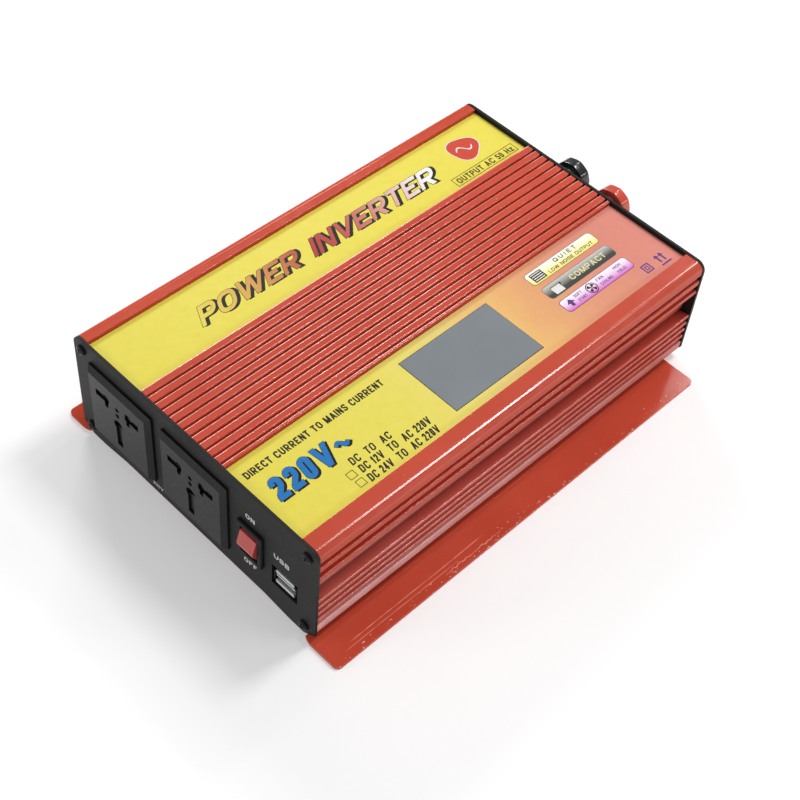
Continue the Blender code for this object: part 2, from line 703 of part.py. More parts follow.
def make_fan(plastic, dark, steel):
    centre = (FAN_X, FAN_Z)
    front = FAN_REAR - FAN_DEPTH
    mesh = bmesh.new()
    box(mesh, grown((FAN_X,) * 2, FAN_HALF), (front, FAN_REAR), grown((FAN_Z,) * 2, FAN_HALF))
    frame = mesh_object("fan_frame", mesh, plastic)
    duct = bmesh.new()
    rod(duct, centre, FAN_BORE, front - 1, FAN_REAR + 1, 48)
    for dx in (-FAN_SCREW, FAN_SCREW):
        for dz in (-FAN_SCREW, FAN_SCREW):
            rod(duct, (FAN_X + dx, FAN_Z + dz), SCREW_CLEARANCE, front - 1, FAN_REAR + 1, 12)
    cut(frame, duct, "duct")
    spider = bmesh.new()
    reach = FAN_BORE + 0.4
    box(spider, (FAN_X - reach, FAN_X + reach), (front, front + 2.2), (FAN_Z - 1.3, FAN_Z + 1.3))
    join(frame, spider, "spider")
    spider = bmesh.new()
    box(spider, (FAN_X - 1.3, FAN_X + 1.3), (front, front + 2.2), (FAN_Z - reach, FAN_Z + reach))
    join(frame, spider, "cross_spider")
    motor = bmesh.new()
    rod(motor, centre, 9.5, front, front + 2.6, 24)
    join(frame, motor, "motor_seat")
    bearing = bmesh.new()
    rod(bearing, centre, 1.6, front - 1, front + 4, 12)
    cut(frame, bearing, "bearing")
    make_rotor(centre, front, dark)
    for number, (dx, dz) in enumerate(((-1, -1), (1, -1), (-1, 1), (1, 1)), start=1):
        x = FAN_X + dx * FAN_SCREW
        z = FAN_Z + dz * FAN_SCREW
        make_screw("fan_screw_%d" % number, x, z, REAR_FACE, -1, steel)


def make_rotor(centre, front, dark):
    """Hub with seven pitched blades, and a shaft in the frame's bearing."""
    hub_start = front + 3.1
    hub_end = FAN_REAR - 1.2
    profile = [(1.3, front + 0.4), (1.3, hub_start), (10.0, hub_start), (10.0, hub_end - 0.8), (9.2, hub_end)]
    mesh = bmesh.new()
    turned_along_y(mesh, centre, profile, 28)
    rotor = mesh_object("fan_rotor", mesh, dark, (centre[0], front + 8, centre[1]))
    blades = bmesh.new()
    for i in range(7):
        add_blade(blades, centre, i * 2 * math.pi / 7, hub_start + 0.6, hub_end - 0.8)
    join(rotor, blades, "blades")


def add_blade(mesh, centre, angle, start, end):
    """One pitched blade from inside the hub to near the duct."""
    rings = []
    for radius, sweep in ((9.0, 0.0), (14.0, 0.05), (18.5, 0.12), (22.6, 0.22)):
        ring = []
        for y, lead in ((start, 0.0), (end, 0.62)):
            for thick in (-0.45, 0.45):
                turn = angle + sweep + lead * (1.0 - 0.012 * radius) + thick / radius
                if y == end:
                    turn = angle + sweep + lead * (1.0 - 0.012 * radius) - thick / radius
                ring.append((centre[0] + radius * math.cos(turn), y, centre[1] + radius * math.sin(turn)))
        rings.append(ring)
    loft(mesh, rings)


# ---------------------------------------------------------------- inside

def make_inner_parts(board, core, copper, metal, sleeve, plastic):
    mesh = bmesh.new()
    box(mesh, (-62, 62), (26, 214), (8.0, 9.6))
    mesh_object("main_board", mesh, board)

    base = 9.6 + GAP
    mesh = bmesh.new()
    box(mesh, (-26, 26), (96, 138), (base, base + 34))
    iron = mesh_object("transformer_core", mesh, core)
    windows = bmesh.new()
    for side in (-1, 1):
        box(windows, sorted((side * 9.5, side * 17.5)), (90, 144), (base + 8, base + 26))
    cut(iron, windows)
    mesh = bmesh.new()
    box(mesh, (-17.2, 17.2), (88, 146), (base + 8.3, base + 25.7))
    coil = mesh_object("transformer_winding", mesh, copper)
    leg = bmesh.new()
    box(leg, (-9.8, 9.8), (95.4, 138.6), (base - 1, base + 40))
    cut(coil, leg)

    mesh = bmesh.new()
    turned_along_z(mesh, (0, 64), [(13.0, base), (14.5, base + 1.5), (14.5, base + 11), (13.0, base + 12.5)], 28)
    choke = mesh_object("choke", mesh, copper)
    eye = bmesh.new()
    turned_along_z(eye, (0, 64), [(6.0, base - 1), (6.0, base + 14)], 20)
    cut(choke, eye)

    for name, x, y, radius, height in (
        ("input_capacitor", 20, 186, 11.0, 30.0),
        ("bus_capacitor", -36, 64, 9.0, 34.0),
    ):
        mesh = bmesh.new()
        profile = [(radius, base), (radius, base + height - 1), (radius - 1, base + height)]
        turned_along_z(mesh, (x, y), profile, 24)
        mesh_object(name, mesh, sleeve)

    for name, side in (("left_heat_sink", -1), ("right_heat_sink", 1)):
        mesh = bmesh.new()
        outline = [(54.0, base), (61.0, base), (61.0, base + 30), (58.0, base + 30), (58.0, base + 3), (54.0, base + 3)]
        prism(mesh, [(side * x, z) for x, z in outline], 36.0, 206.0)
        mesh_object(name, mesh, metal)

    for number in (1, 2, 3):
        mesh = bmesh.new()
        y = 170.0 + 12.0 * (number - 1)
        box(mesh, (-22, -3), (y, y + 5.2), (base, base + 17))
        mesh_object("fuse_%d" % number, mesh, plastic)


def build():
    clear_scene()
    red_paint = make_material("red_paint", (0.62, 0.07, 0.035), 0.35, 0.3)
    black_paint = make_material("black_paint", (0.02, 0.02, 0.021), 0.5)
    black_plastic = make_material("black_plastic", (0.018, 0.018, 0.02), 0.4)
    red_plastic = make_material("red_plastic", (0.6, 0.04, 0.03), 0.3)
    white_plastic = make_material("white_plastic", (0.85, 0.85, 0.82), 0.4)
    label_film = make_material("label_film", (0.8, 0.67, 0.08), 0.35)
    window_film = make_material("window_film", (0.06, 0.065, 0.065), 0.15)
    steel = make_material("steel", (0.5, 0.5, 0.5), 0.3, 1.0)
    black_steel = make_material("black_steel", (0.03, 0.03, 0.03), 0.35, 0.6)
    brass = make_material("brass", (0.75, 0.6, 0.35), 0.3, 1.0)
    circuit_board = make_material("circuit_board", (0.03, 0.2, 0.07), 0.5)
    ferrite = make_material("ferrite", (0.05, 0.05, 0.052), 0.6)
    copper = make_material("copper_wire", (0.6, 0.25, 0.12), 0.35, 0.8)
    aluminium = make_material("aluminium", (0.7, 0.7, 0.71), 0.35, 1.0)
    capacitor_sleeve = make_material("capacitor_sleeve", (0.03, 0.04, 0.1), 0.4)
    fuse_plastic = make_material("fuse_plastic", (0.1, 0.5, 0.15), 0.3)

    make_base_plate(red_paint)
    make_bottom_shell(red_paint)
    make_top_shell(red_paint)
    make_front_plate(black_paint)
    make_rear_plate(black_paint)
    make_case_screws(black_steel)
    make_labels(label_film)
    make_display(window_film, black_plastic, circuit_board)
    make_sockets(black_plastic, brass)
    make_switch(black_plastic, red_plastic, brass)
    make_usb(steel, white_plastic, circuit_board)
    make_post("black", POST_X[0], black_plastic, brass)
    make_post("red", POST_X[1], red_plastic, brass)
    make_fan(black_plastic, black_plastic, black_steel)
    make_inner_parts(circuit_board, ferrite, copper, aluminium, capacitor_sleeve, fuse_plastic)


build()
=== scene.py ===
"""Looks of the power inverter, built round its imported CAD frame.

Lengths are in millimetres in the part's own design frame: x to the right seen from the
socket end, y from the front of the shells to the battery end, z up from the mounting
plate's underside. at() turns such a point into metres in the row frame.
"""
import math
import random

import bmesh
import bpy
from mathutils import Matrix, Vector


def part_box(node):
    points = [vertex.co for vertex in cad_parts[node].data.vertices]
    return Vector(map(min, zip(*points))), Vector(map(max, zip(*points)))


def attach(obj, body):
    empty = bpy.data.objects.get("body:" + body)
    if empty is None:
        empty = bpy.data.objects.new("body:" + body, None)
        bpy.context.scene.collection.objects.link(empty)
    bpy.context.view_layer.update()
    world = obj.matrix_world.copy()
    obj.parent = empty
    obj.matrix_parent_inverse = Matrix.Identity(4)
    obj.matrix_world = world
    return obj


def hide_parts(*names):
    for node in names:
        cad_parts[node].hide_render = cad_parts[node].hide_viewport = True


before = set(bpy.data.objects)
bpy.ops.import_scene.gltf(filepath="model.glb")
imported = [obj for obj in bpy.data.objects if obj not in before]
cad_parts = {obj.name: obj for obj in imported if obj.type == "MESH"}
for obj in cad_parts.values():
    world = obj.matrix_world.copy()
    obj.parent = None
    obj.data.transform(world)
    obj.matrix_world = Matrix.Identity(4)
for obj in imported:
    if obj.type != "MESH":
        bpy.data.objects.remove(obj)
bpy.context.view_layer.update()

MM = 0.001
SHELL_MIDDLE = (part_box("top_shell")[0].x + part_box("top_shell")[1].x) / 2 / MM
SHELL_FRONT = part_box("top_shell")[0].y / MM
LABEL_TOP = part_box("left_label")[1].z / MM
PATTERN_LENGTH = 240.0  # colours that run along the case are laid out over this much of y
PLATE_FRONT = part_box("front_plate")[0].y / MM - SHELL_FRONT
PLATE_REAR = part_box("rear_plate")[1].y / MM - SHELL_FRONT


def at(x, y, z):
    """A design point in metres of the row frame."""
    return Vector((x + SHELL_MIDDLE, y + SHELL_FRONT, z)) * MM


def node_box(node):
    """A CAD node's box in design millimetres: ((x, y, z) low, (x, y, z) high)."""
    low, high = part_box(node)
    shift = Vector((SHELL_MIDDLE, SHELL_FRONT, 0))
    return low / MM - shift, high / MM - shift


# ---------------------------------------------------------------- materials

def linear(*rgb):
    """An sRGB colour of 0-255 numbers as the linear values that the shaders take."""
    values = []
    for part in rgb:
        part /= 255
        values.append(part / 12.92 if part <= 0.04045 else ((part + 0.055) / 1.055) ** 2.4)
    return tuple(values)


class Finish:
    """One procedural material. Its patterns are measured in millimetres of the row frame."""

    def __init__(self, name, colour, roughness, metallic=0.0, coat=0.0, shine=0.5):
        self.material = bpy.data.materials.new(name)
        self.material.use_nodes = True
        self.tree = self.material.node_tree
        self.shader = self.tree.nodes["Principled BSDF"]
        self.put("Base Color", (*colour, 1.0))
        self.put("Roughness", roughness)
        self.put("Metallic", metallic)
        self.put("Coat Weight", coat)
        self.put("Coat Roughness", 0.1)
        self.put("Specular IOR Level", shine)
        self.material.diffuse_color = (*colour, 1.0)
        self.place = self.add("ShaderNodeTexCoord").outputs["Object"]

    def add(self, kind, inputs=None, **settings):
        node = self.tree.nodes.new(kind)
        for key, value in settings.items():
            setattr(node, key, value)
        for key, value in (inputs or {}).items():
            self.feed(node.inputs[key], value)
        return node

    def feed(self, socket, value):
        if isinstance(value, bpy.types.NodeSocket):
            self.tree.links.new(value, socket)
        else:
            socket.default_value = value

    def put(self, name, value):
        self.feed(self.shader.inputs[name], value)

    def noise(self, per_mm, detail=3.0, rough=0.55, shift=0.0):
        """Noise whose features are 1 / per_mm across; per_mm is a number or one for each axis."""
        if not isinstance(per_mm, tuple):
            per_mm = (per_mm,) * 3
        scale = tuple(value / MM for value in per_mm)
        spot = self.add(
            "ShaderNodeMapping", {"Vector": self.place, "Scale": scale, "Location": (shift,) * 3}
        )
        texture = self.add(
            "ShaderNodeTexNoise",
            {"Vector": spot.outputs[0], "Scale": 1.0, "Detail": detail, "Roughness": rough},
        )
        return texture.outputs["Fac"]

    def ramp(self, factor, *stops):
        """Colour along factor. Each stop is (position, colour or grey)."""
        node = self.add("ShaderNodeValToRGB", {"Fac": factor})
        band = node.color_ramp
        while len(band.elements) < len(stops):
            band.elements.new(0.5)
        for element, (position, colour) in zip(band.elements, stops):
            element.position = position
            colour = (colour,) * 3 if isinstance(colour, (int, float)) else colour
            element.color = (*colour, 1.0)
        return node.outputs["Color"]

    def blend(self, factor, first, second, mode="MIX"):
        node = self.add("ShaderNodeMix", data_type="RGBA", blend_type=mode)
        self.feed(node.inputs["Factor"], factor)
        for socket, value in ((node.inputs[6], first), (node.inputs[7], second)):
            if isinstance(value, tuple) and len(value) == 3:
                value = (*value, 1.0)
            self.feed(socket, value)
        return node.outputs[2]

    def calc(self, first, second=0.0, operation="ADD"):
        node = self.add("ShaderNodeMath", operation=operation)
        self.feed(node.inputs[0], first)
        self.feed(node.inputs[1], second)
        return node.outputs[0]

    def times(self, first, second):
        return self.calc(first, second, "MULTIPLY")

    def span(self, value, low, high, to_low=0.0, to_high=1.0):
        """value's place from low to high, held at the ends, as a number from to_low to to_high."""
        ends = {"From Min": low, "From Max": high, "To Min": to_low, "To Max": to_high}
        return self.add("ShaderNodeMapRange", {"Value": value, **ends}).outputs[0]

    def between(self, value, low, high, fade):
        """1 where value lies between low and high, and 0 past a fade outside them."""
        rising = self.span(value, low - fade, low)
        return self.times(rising, self.span(value, high, high + fade, 1.0, 0.0))

    def axis(self, name):
        """One coordinate of a point in the part's design frame, in millimetres."""
        node = self.add("ShaderNodeSeparateXYZ", {"Vector": self.place})
        start = {"X": SHELL_MIDDLE, "Y": SHELL_FRONT, "Z": 0.0}[name]
        return self.calc(self.times(node.outputs[name], 1 / MM), start, "SUBTRACT")

    def bump(self, height, distance, strength=1.0):
        """Relief of the given depth in millimetres, on top of any bump made before."""
        node = self.add(
            "ShaderNodeBump", {"Height": height, "Distance": distance * MM, "Strength": strength}
        )
        before = self.shader.inputs["Normal"].links
        if before:
            self.tree.links.new(before[0].from_socket, node.inputs["Normal"])
        self.put("Normal", node.outputs[0])


def painted_rib_highlights(skin, tone):
    """Painted highlight: pale along the left edge of each lid rib, most at its two ends, standing
    in for light caught by the rounded rib edges.
    """
    row_left, row_right, row_top = -33.7, 19.0, 61.2
    first, pitch = -28.5, 4.665
    x = skin.axis("X")
    across = skin.calc(skin.calc(x, first, "SUBTRACT"), pitch, "FLOORED_MODULO")
    line = skin.span(across, 0.48, 0.6, 1.0, 0.0)
    along = skin.span(skin.axis("Y"), 0.0, PATTERN_LENGTH)
    share = skin.ramp(
        along, (0.0, 0.9), (0.02, 0.9), (0.05, 0.45), (0.12, 0.75), (0.55, 0.8), (0.78, 0.45),
        (0.955, 0.15), (0.965, 0.8), (1.0, 0.8),
    )
    row = skin.between(x, row_left, row_right, 0.1)
    row = skin.times(row, skin.span(skin.axis("Z"), row_top - 0.3, row_top))
    pale = skin.times(skin.times(line, share), row)
    return skin.blend(pale, tone, linear(250, 200, 188))


def pale_streaks(skin, tone):
    """Long pale streaks near the right wing's edge, and a short wavy one beside them, patchy along
    their length.
    """
    x, y = skin.axis("X"), skin.axis("Y")
    drift = skin.span(skin.noise((0.0, 0.012, 0.0), 1.0, shift=11.0), 0.2, 0.8, -0.7, 0.7)
    wobble = skin.span(skin.noise((0.0, 0.3, 0.0), 2.0, shift=5.0), 0.2, 0.8, -0.9, 0.9)
    marks = 0.0
    for place, half, start, end, share, wander in (
        (87.2, 0.12, 8.0, 90.0, 0.8, drift),
        (89.2, 0.1, 4.0, 72.0, 0.65, drift),
        (90.7, 0.2, 62.0, 98.0, 0.8, wobble),
    ):
        off = skin.calc(skin.calc(skin.calc(x, place, "SUBTRACT"), wander), operation="ABSOLUTE")
        line = skin.span(off, half, half + 0.15, share, 0.0)
        length = skin.between(y, start + 5.0, end - 5.0, 5.0)
        marks = skin.calc(skin.times(line, length), marks, "MAXIMUM")
    patch = skin.span(skin.noise((0.5, 0.12, 0.5), 2.0, shift=14.0), 0.35, 0.55, 0.35, 1.0)
    return skin.blend(skin.times(marks, patch), tone, linear(240, 160, 146))


def red_paint(name, scuffs=0.0, painted_sheens=(), worn=None, ribs=False):
    """Lacquer on extruded aluminium with a few chips.

    scuffs adds worn specks; each of painted_sheens is (low z, high z, share) of a pale band of
    painted reflection that fades towards the rear; worn is the two x between which the chips get
    more frequent, and also adds pale streaks near the right wing's edge; ribs adds painted
    highlights along the lid ribs' left edges.
    """
    skin = Finish(name, linear(193, 74, 52), 0.2, shine=0.4)
    cloud = skin.noise(0.02, 4.0)
    tone = skin.ramp(cloud, (0.3, linear(188, 70, 50)), (0.7, linear(198, 78, 56)))
    # Painted reflection: pale bands on the case sides between two heights, strongest at the front.
    for low, high, share in painted_sheens:
        inside = skin.between(skin.axis("Z"), low, high, 0.3)
        fade = skin.span(skin.axis("Y"), 0.0, PATTERN_LENGTH, share, share * 0.25)
        patch = skin.span(skin.noise(0.06, 3.0, shift=8.0), 0.3, 0.7, 0.7, 1.0)
        tone = skin.blend(skin.times(skin.times(inside, fade), patch), tone, linear(242, 196, 192))
    # Painted highlights along the lid ribs' left edges.
    if ribs:
        tone = painted_rib_highlights(skin, tone)
    speck = skin.noise((0.9, 0.5, 0.9), 2.0, 0.5, shift=7.0)
    if worn:
        tone = pale_streaks(skin, tone)
        speck = skin.calc(speck, skin.span(skin.axis("X"), worn[0], worn[1], 0.0, 0.13))
    chip = skin.ramp(speck, (0.785 - scuffs, 0.0), (0.8 - scuffs, 1.0))
    skin.put("Base Color", skin.blend(chip, tone, linear(236, 190, 180)))
    skin.put("Roughness", skin.span(skin.noise(0.2, 3.0, shift=3.0), 0.3, 0.7, 0.12, 0.19))
    facing = skin.add("ShaderNodeSeparateXYZ", {"Vector": skin.place.node.outputs["Normal"]})
    upright = skin.calc(facing.outputs["X"], operation="ABSOLUTE")
    shine = skin.span(upright, 0.93, 0.995, 0.5, 0.06)
    dull_left = skin.span(skin.axis("X"), -72.4, -71.6, 0.08, 1.0)
    skin.put("Specular IOR Level", skin.times(shine, dull_left))
    skin.bump(skin.noise(0.3, 2.0), 0.004, 0.4)
    return skin.material


def powder(name, colour, roughness, grain=2.5, depth=0.02, shine=0.15):
    """Fine dry coat or moulded texture."""
    skin = Finish(name, colour, roughness, shine=shine)
    cloud = skin.noise(0.05, 3.0)
    low = tuple(0.8 * part for part in colour)
    high = tuple(min(1.0, 1.25 * part) for part in colour)
    skin.put("Base Color", skin.ramp(cloud, (0.3, low), (0.7, high)))
    fine = skin.noise(grain, 2.0, 0.6, shift=2.0)
    skin.put("Roughness", skin.span(fine, 0.3, 0.7, roughness - 0.08, roughness + 0.08))
    skin.bump(fine, depth, 0.6)
    return skin.material


def bare_metal(name, colour, roughness, brushed=(6.0, 6.0, 6.0)):
    """Metal with fine machining lines and darker stains."""
    skin = Finish(name, colour, roughness, 1.0)
    lines = skin.noise(brushed, 3.0)
    stain = skin.noise(0.25, 3.0, shift=5.0)
    low = tuple(0.72 * part for part in colour)
    skin.put("Base Color", skin.ramp(stain, (0.3, low), (0.65, colour)))
    skin.put("Roughness", skin.span(lines, 0.25, 0.75, roughness - 0.08, roughness + 0.12))
    skin.bump(lines, 0.01, 0.4)
    return skin.material


def film(name, stops):
    """Printed label film: a colour that runs along y, slight waves and a soft gloss."""
    skin = Finish(name, stops[0][1], 0.33, shine=0.2)
    along = skin.span(skin.axis("Y"), 0.0, PATTERN_LENGTH)
    drift = skin.noise(0.03, 2.0, shift=4.0)
    place = skin.calc(along, skin.span(drift, 0.2, 0.8, -0.03, 0.03))
    tone = skin.ramp(place, *stops)
    grain = skin.ramp(skin.noise(0.25, 3.0, shift=1.0), (0.35, 0.965), (0.65, 1.0))
    skin.put("Base Color", skin.blend(1.0, tone, grain, "MULTIPLY"))
    skin.put("Roughness", skin.span(skin.noise(0.12, 3.0, shift=9.0), 0.3, 0.7, 0.27, 0.4))
    skin.bump(skin.noise(0.035, 2.0, shift=6.0), 0.25, 0.5)
    skin.bump(skin.noise(1.6, 2.0), 0.002, 0.4)
    return skin.material


def ink(name, colour):
    """Flat printing ink with a little mottling."""
    skin = Finish(name, colour, 0.4, shine=0.15)
    mottle = skin.ramp(skin.noise(1.2, 3.0, shift=3.0), (0.35, 0.88), (0.65, 1.0))
    skin.put("Base Color", skin.blend(1.0, (*colour, 1.0), mottle, "MULTIPLY"))
    skin.put("Roughness", skin.span(skin.noise(2.0, 2.0), 0.3, 0.7, 0.34, 0.46))
    return skin.material


def gradient_ink(name, axis, low, high, *stops):
    """Printing ink whose colour runs along one axis between two places."""
    skin = Finish(name, stops[0][1], 0.38, shine=0.2)
    tone = skin.ramp(skin.span(skin.axis(axis), low, high), *stops)
    mottle = skin.ramp(skin.noise(1.2, 3.0, shift=3.0), (0.35, 0.92), (0.65, 1.0))
    skin.put("Base Color", skin.blend(1.0, tone, mottle, "MULTIPLY"))
    skin.put("Roughness", skin.span(skin.noise(2.0, 2.0), 0.3, 0.7, 0.32, 0.44))
    return skin.material


def tinted_window():
    """Dark glossy window with a faint haze and dust."""
    skin = Finish("window_film", linear(126, 131, 135), 0.16, shine=0.3)
    haze = (0.3, linear(122, 128, 132)), (0.7, linear(130, 135, 139))
    skin.put("Base Color", skin.ramp(skin.noise(0.03, 2.0), *haze))
    dust = skin.noise(0.8, 4.0, 0.6, shift=2.0)
    skin.put("Roughness", skin.span(dust, 0.3, 0.75, 0.08, 0.22))
    skin.bump(skin.noise(0.05, 2.0, shift=1.0), 0.05, 0.4)
    return skin.material


def plastic(name, colour, roughness, coat=0.0):
    """Moulded plastic with a fine grain."""
    skin = Finish(name, colour, roughness, coat=coat)
    cloud = skin.noise(0.12, 3.0)
    low = tuple(0.85 * part for part in colour)
    skin.put("Base Color", skin.ramp(cloud, (0.3, low), (0.7, colour)))
    fine = skin.noise(1.8, 3.0, shift=2.0)
    skin.put("Roughness", skin.span(fine, 0.3, 0.7, roughness - 0.06, roughness + 0.06))
    skin.bump(fine, 0.008, 0.5)
    return skin.material


def painted_lit_stripe(name, axis, bright, low, high):
    """Painted light and shade: bright between two places on one axis, as light falls on a small
    recess, and painted shade outside them.
    """
    skin = Finish(name, bright, 0.3, 0.3)
    inside = skin.between(skin.axis(axis), low, high, 0.3)
    skin.put("Base Color", skin.blend(inside, linear(22, 22, 23), bright))
    skin.put("Roughness", skin.span(skin.noise(1.5, 2.0), 0.3, 0.7, 0.25, 0.38))
    skin.bump(skin.noise(2.0, 2.0), 0.006, 0.4)
    return skin.material


def board_green():
    """Circuit board: solder mask over copper tracks."""
    skin = Finish("circuit_board", (0.02, 0.12, 0.04), 0.35)
    spot = skin.add("ShaderNodeMapping", {"Vector": skin.place, "Scale": (250.0, 250.0, 250.0)})
    cells = skin.add(
        "ShaderNodeTexVoronoi", {"Vector": spot.outputs[0], "Scale": 1.0}, distance="MANHATTAN"
    )
    tracks = skin.ramp(cells.outputs["Distance"], (0.42, 0.0), (0.46, 1.0))
    skin.put("Base Color", skin.blend(tracks, (0.015, 0.14, 0.045), (0.03, 0.26, 0.09)))
    skin.bump(tracks, 0.03, 0.6)
    return skin.material


def wound_wire():
    """Turns of enamelled wire side by side, with painted shade in the grooves between turns."""
    skin = Finish("copper_wire", (0.5, 0.16, 0.06), 0.3, 0.85)
    wave = skin.add(
        "ShaderNodeTexWave",
        {"Vector": skin.place, "Scale": 260.0, "Distortion": 0.6, "Detail": 1.0},
        bands_direction="Z",
    )
    turns = wave.outputs["Fac"]
    skin.put("Base Color", skin.ramp(turns, (0.1, (0.2, 0.05, 0.02)), (0.6, (0.62, 0.22, 0.08))))
    skin.bump(turns, 0.3, 0.8)
    return skin.material


YELLOW = linear(226, 212, 84)

RED = red_paint("red_paint", worn=(84.0, 92.5))
# The shells' sides carry painted reflection bands, and the lid painted highlights on its ribs.
RED_UPPER = red_paint("red_paint_upper", painted_sheens=[(29.0, 39.5, 0.42)], ribs=True)
RED_LOWER = red_paint("red_paint_lower", 0.01, [(6.6, 11.0, 1.0), (11.5, 29.0, 0.2)])
BLACK_COAT = powder("black_coat", linear(35, 35, 34), 0.5)
BLACK_MOULD = powder("black_plastic", linear(25, 25, 24), 0.36, 1.6, 0.012, 0.24)
BLACK_FAN = powder("fan_plastic", linear(34, 34, 36), 0.42, 1.2, 0.02)
BLACK_KNOB = plastic("black_knob", linear(30, 31, 33), 0.2, 0.4)
RED_KNOB = plastic("red_knob", linear(206, 74, 54), 0.2, 0.4)
RED_ROCKER = plastic("red_rocker", linear(206, 82, 74), 0.34, 0.1)
BLACK_STEEL = powder("black_steel", linear(30, 30, 31), 0.3, 3.0, 0.01)
USB_LEFT, USB_RIGHT = (corner.x for corner in node_box("usb_shell"))
# Painted highlights on the USB shell's edges and the tongue's face, with painted shade round them.
USB_STEEL = painted_lit_stripe("usb_steel", "X", linear(214, 216, 218), USB_LEFT + 1.4, USB_RIGHT - 1.4)
TONGUE_Z = sum(corner.z for corner in node_box("usb_tongue")) / 2
USB_TONGUE = painted_lit_stripe(
    "usb_tongue_face", "Z", linear(226, 227, 226), TONGUE_Z - 0.25, TONGUE_Z + 0.25
)
NICKEL = bare_metal("nickel_plate", linear(206, 204, 198), 0.2)
BRASS = bare_metal("brass", linear(222, 196, 130), 0.25)
ALUMINIUM = bare_metal("aluminium", linear(200, 202, 206), 0.35, (4.0, 0.05, 4.0))
FERRITE = powder("ferrite", linear(58, 58, 62), 0.6, 1.0, 0.03)
SLEEVE = plastic("capacitor_sleeve", linear(28, 34, 62), 0.3)
FUSE = plastic("fuse_plastic", linear(60, 160, 70), 0.25)
BOARD = board_green()
WIRE = wound_wire()
WINDOW = tinted_window()
LEFT_FILM = film("left_label_film", ((0.0, linear(225, 212, 82)), (1.0, YELLOW)))
RIGHT_FILM = film(
    "right_label_film",
    (
        (0.0, YELLOW), (0.3, linear(226, 213, 92)), (0.42, linear(226, 211, 108)),
        (0.5, linear(223, 203, 118)), (0.585, linear(227, 187, 114)), (0.63, linear(228, 178, 112)),
        (0.69, linear(223, 164, 113)), (0.79, linear(216, 145, 115)), (0.9, linear(211, 133, 116)),
        (1.0, linear(214, 134, 120)),
    ),
)

CAD_FINISH = {
    "base_plate": RED, "bottom_shell": RED_LOWER, "top_shell": RED_UPPER,
    "front_plate": BLACK_COAT, "rear_plate": BLACK_COAT,
    "left_label": LEFT_FILM, "right_label": RIGHT_FILM,
    "display_window": WINDOW, "display_panel": BLACK_MOULD, "display_board": BOARD,
    "left_socket": BLACK_MOULD, "right_socket": BLACK_MOULD,
    "switch_housing": BLACK_COAT, "switch_rocker": RED_ROCKER,
    "usb_shell": USB_STEEL, "usb_tongue": USB_TONGUE, "usb_board": BOARD,
    "fan_frame": BLACK_FAN, "fan_rotor": BLACK_FAN,
    "main_board": BOARD, "transformer_core": FERRITE, "transformer_winding": WIRE, "choke": WIRE,
    "input_capacitor": SLEEVE, "bus_capacitor": SLEEVE,
    "left_heat_sink": ALUMINIUM, "right_heat_sink": ALUMINIUM,
}
for node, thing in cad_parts.items():
    if node in CAD_FINISH:
        material = CAD_FINISH[node]
    elif "screw" in node:
        material = BLACK_STEEL
    elif node.startswith("fuse"):
        material = FUSE
    elif node.startswith("red_post") and ("knob" in node or "bush" in node):
        material = RED_KNOB
    elif node.startswith("black_post") and ("knob" in node or "bush" in node):
        material = BLACK_KNOB
    elif "post" in node:
        material = NICKEL
    else:
        material = BRASS
    for slot in thing.material_slots:
        slot.material = material


def soften(node, width, clamp=True):
    """Round a CAD node's hard edges with modifiers, so that they catch the light."""
    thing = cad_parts[node]
    weld = thing.modifiers.new("weld", "WELD")
    weld.merge_threshold = 0.002 * MM
    bevel = thing.modifiers.new("edges", "BEVEL")
    bevel.width = width * MM
    bevel.segments = 3
    bevel.limit_method = "ANGLE"
    bevel.angle_limit = math.radians(30)
    bevel.use_clamp_overlap = clamp
    bevel.harden_normals = True


for node, width in (
    ("base_plate", 0.3), ("front_plate", 0.15), ("rear_plate", 0.15),
    ("left_socket", 0.25), ("right_socket", 0.25), ("switch_housing", 0.2),
    ("switch_rocker", 0.35), ("usb_shell", 0.1), ("fan_frame", 0.3),
):
    soften(node, width)
soften("top_shell", 0.24, clamp=False)
soften("bottom_shell", 0.2, clamp=False)


# ---------------------------------------------------------------- mesh helpers

def finish_mesh(name, mesh, material, body="case", smooth=35.0):
    """Turn a bmesh in design millimetres into a piece that rides on a body."""
    bmesh.ops.remove_doubles(mesh, verts=mesh.verts, dist=0.0005)
    bmesh.ops.recalc_face_normals(mesh, faces=mesh.faces)
    for vertex in mesh.verts:
        vertex.co = at(*vertex.co)
    data = bpy.data.meshes.new(name)
    mesh.to_mesh(data)
    mesh.free()
    data.materials.append(material)
    data.shade_smooth()
    data.set_sharp_from_angle(angle=math.radians(smooth))
    thing = bpy.data.objects.new(name, data)
    bpy.context.collection.objects.link(thing)
    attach(thing, body)
    return thing


def loft(mesh, rings, closed=False):
    """Skin rings of points one after another: capped at both ends, or closed into a loop."""
    loops = [[mesh.verts.new(point) for point in ring] for ring in rings]
    pairs = list(zip(loops, loops[1:]))
    if closed:
        pairs.append((loops[-1], loops[0]))
    count = len(loops[0])
    for near, far in pairs:
        for i in range(count):
            j = (i + 1) % count
            mesh.faces.new((near[i], near[j], far[j], far[i]))
    if not closed:
        mesh.faces.new(loops[0])
        mesh.faces.new(loops[-1])


def ring_of(centre, radius, y, count):
    """Points of a circle round an axis along y; centre is the axis's (x, z)."""
    turn = 2 * math.pi / count
    x, z = centre
    return [
        (x + radius * math.cos(i * turn), y, z + radius * math.sin(i * turn)) for i in range(count)
    ]


def turned_place(node):
    """Where a turned CAD node is: its axis (x, z), its radius and its two ends along y."""
    low, high = node_box(node)
    return ((low.x + high.x) / 2, (low.z + high.z) / 2), (high.x - low.x) / 2, low.y, high.y


def evaluated_mesh(thing):
    """A new mesh of the object as drawn, with its modifiers applied."""
    bpy.context.view_layer.update()
    graph = bpy.context.evaluated_depsgraph_get()
    return bpy.data.meshes.new_from_object(thing.evaluated_get(graph))


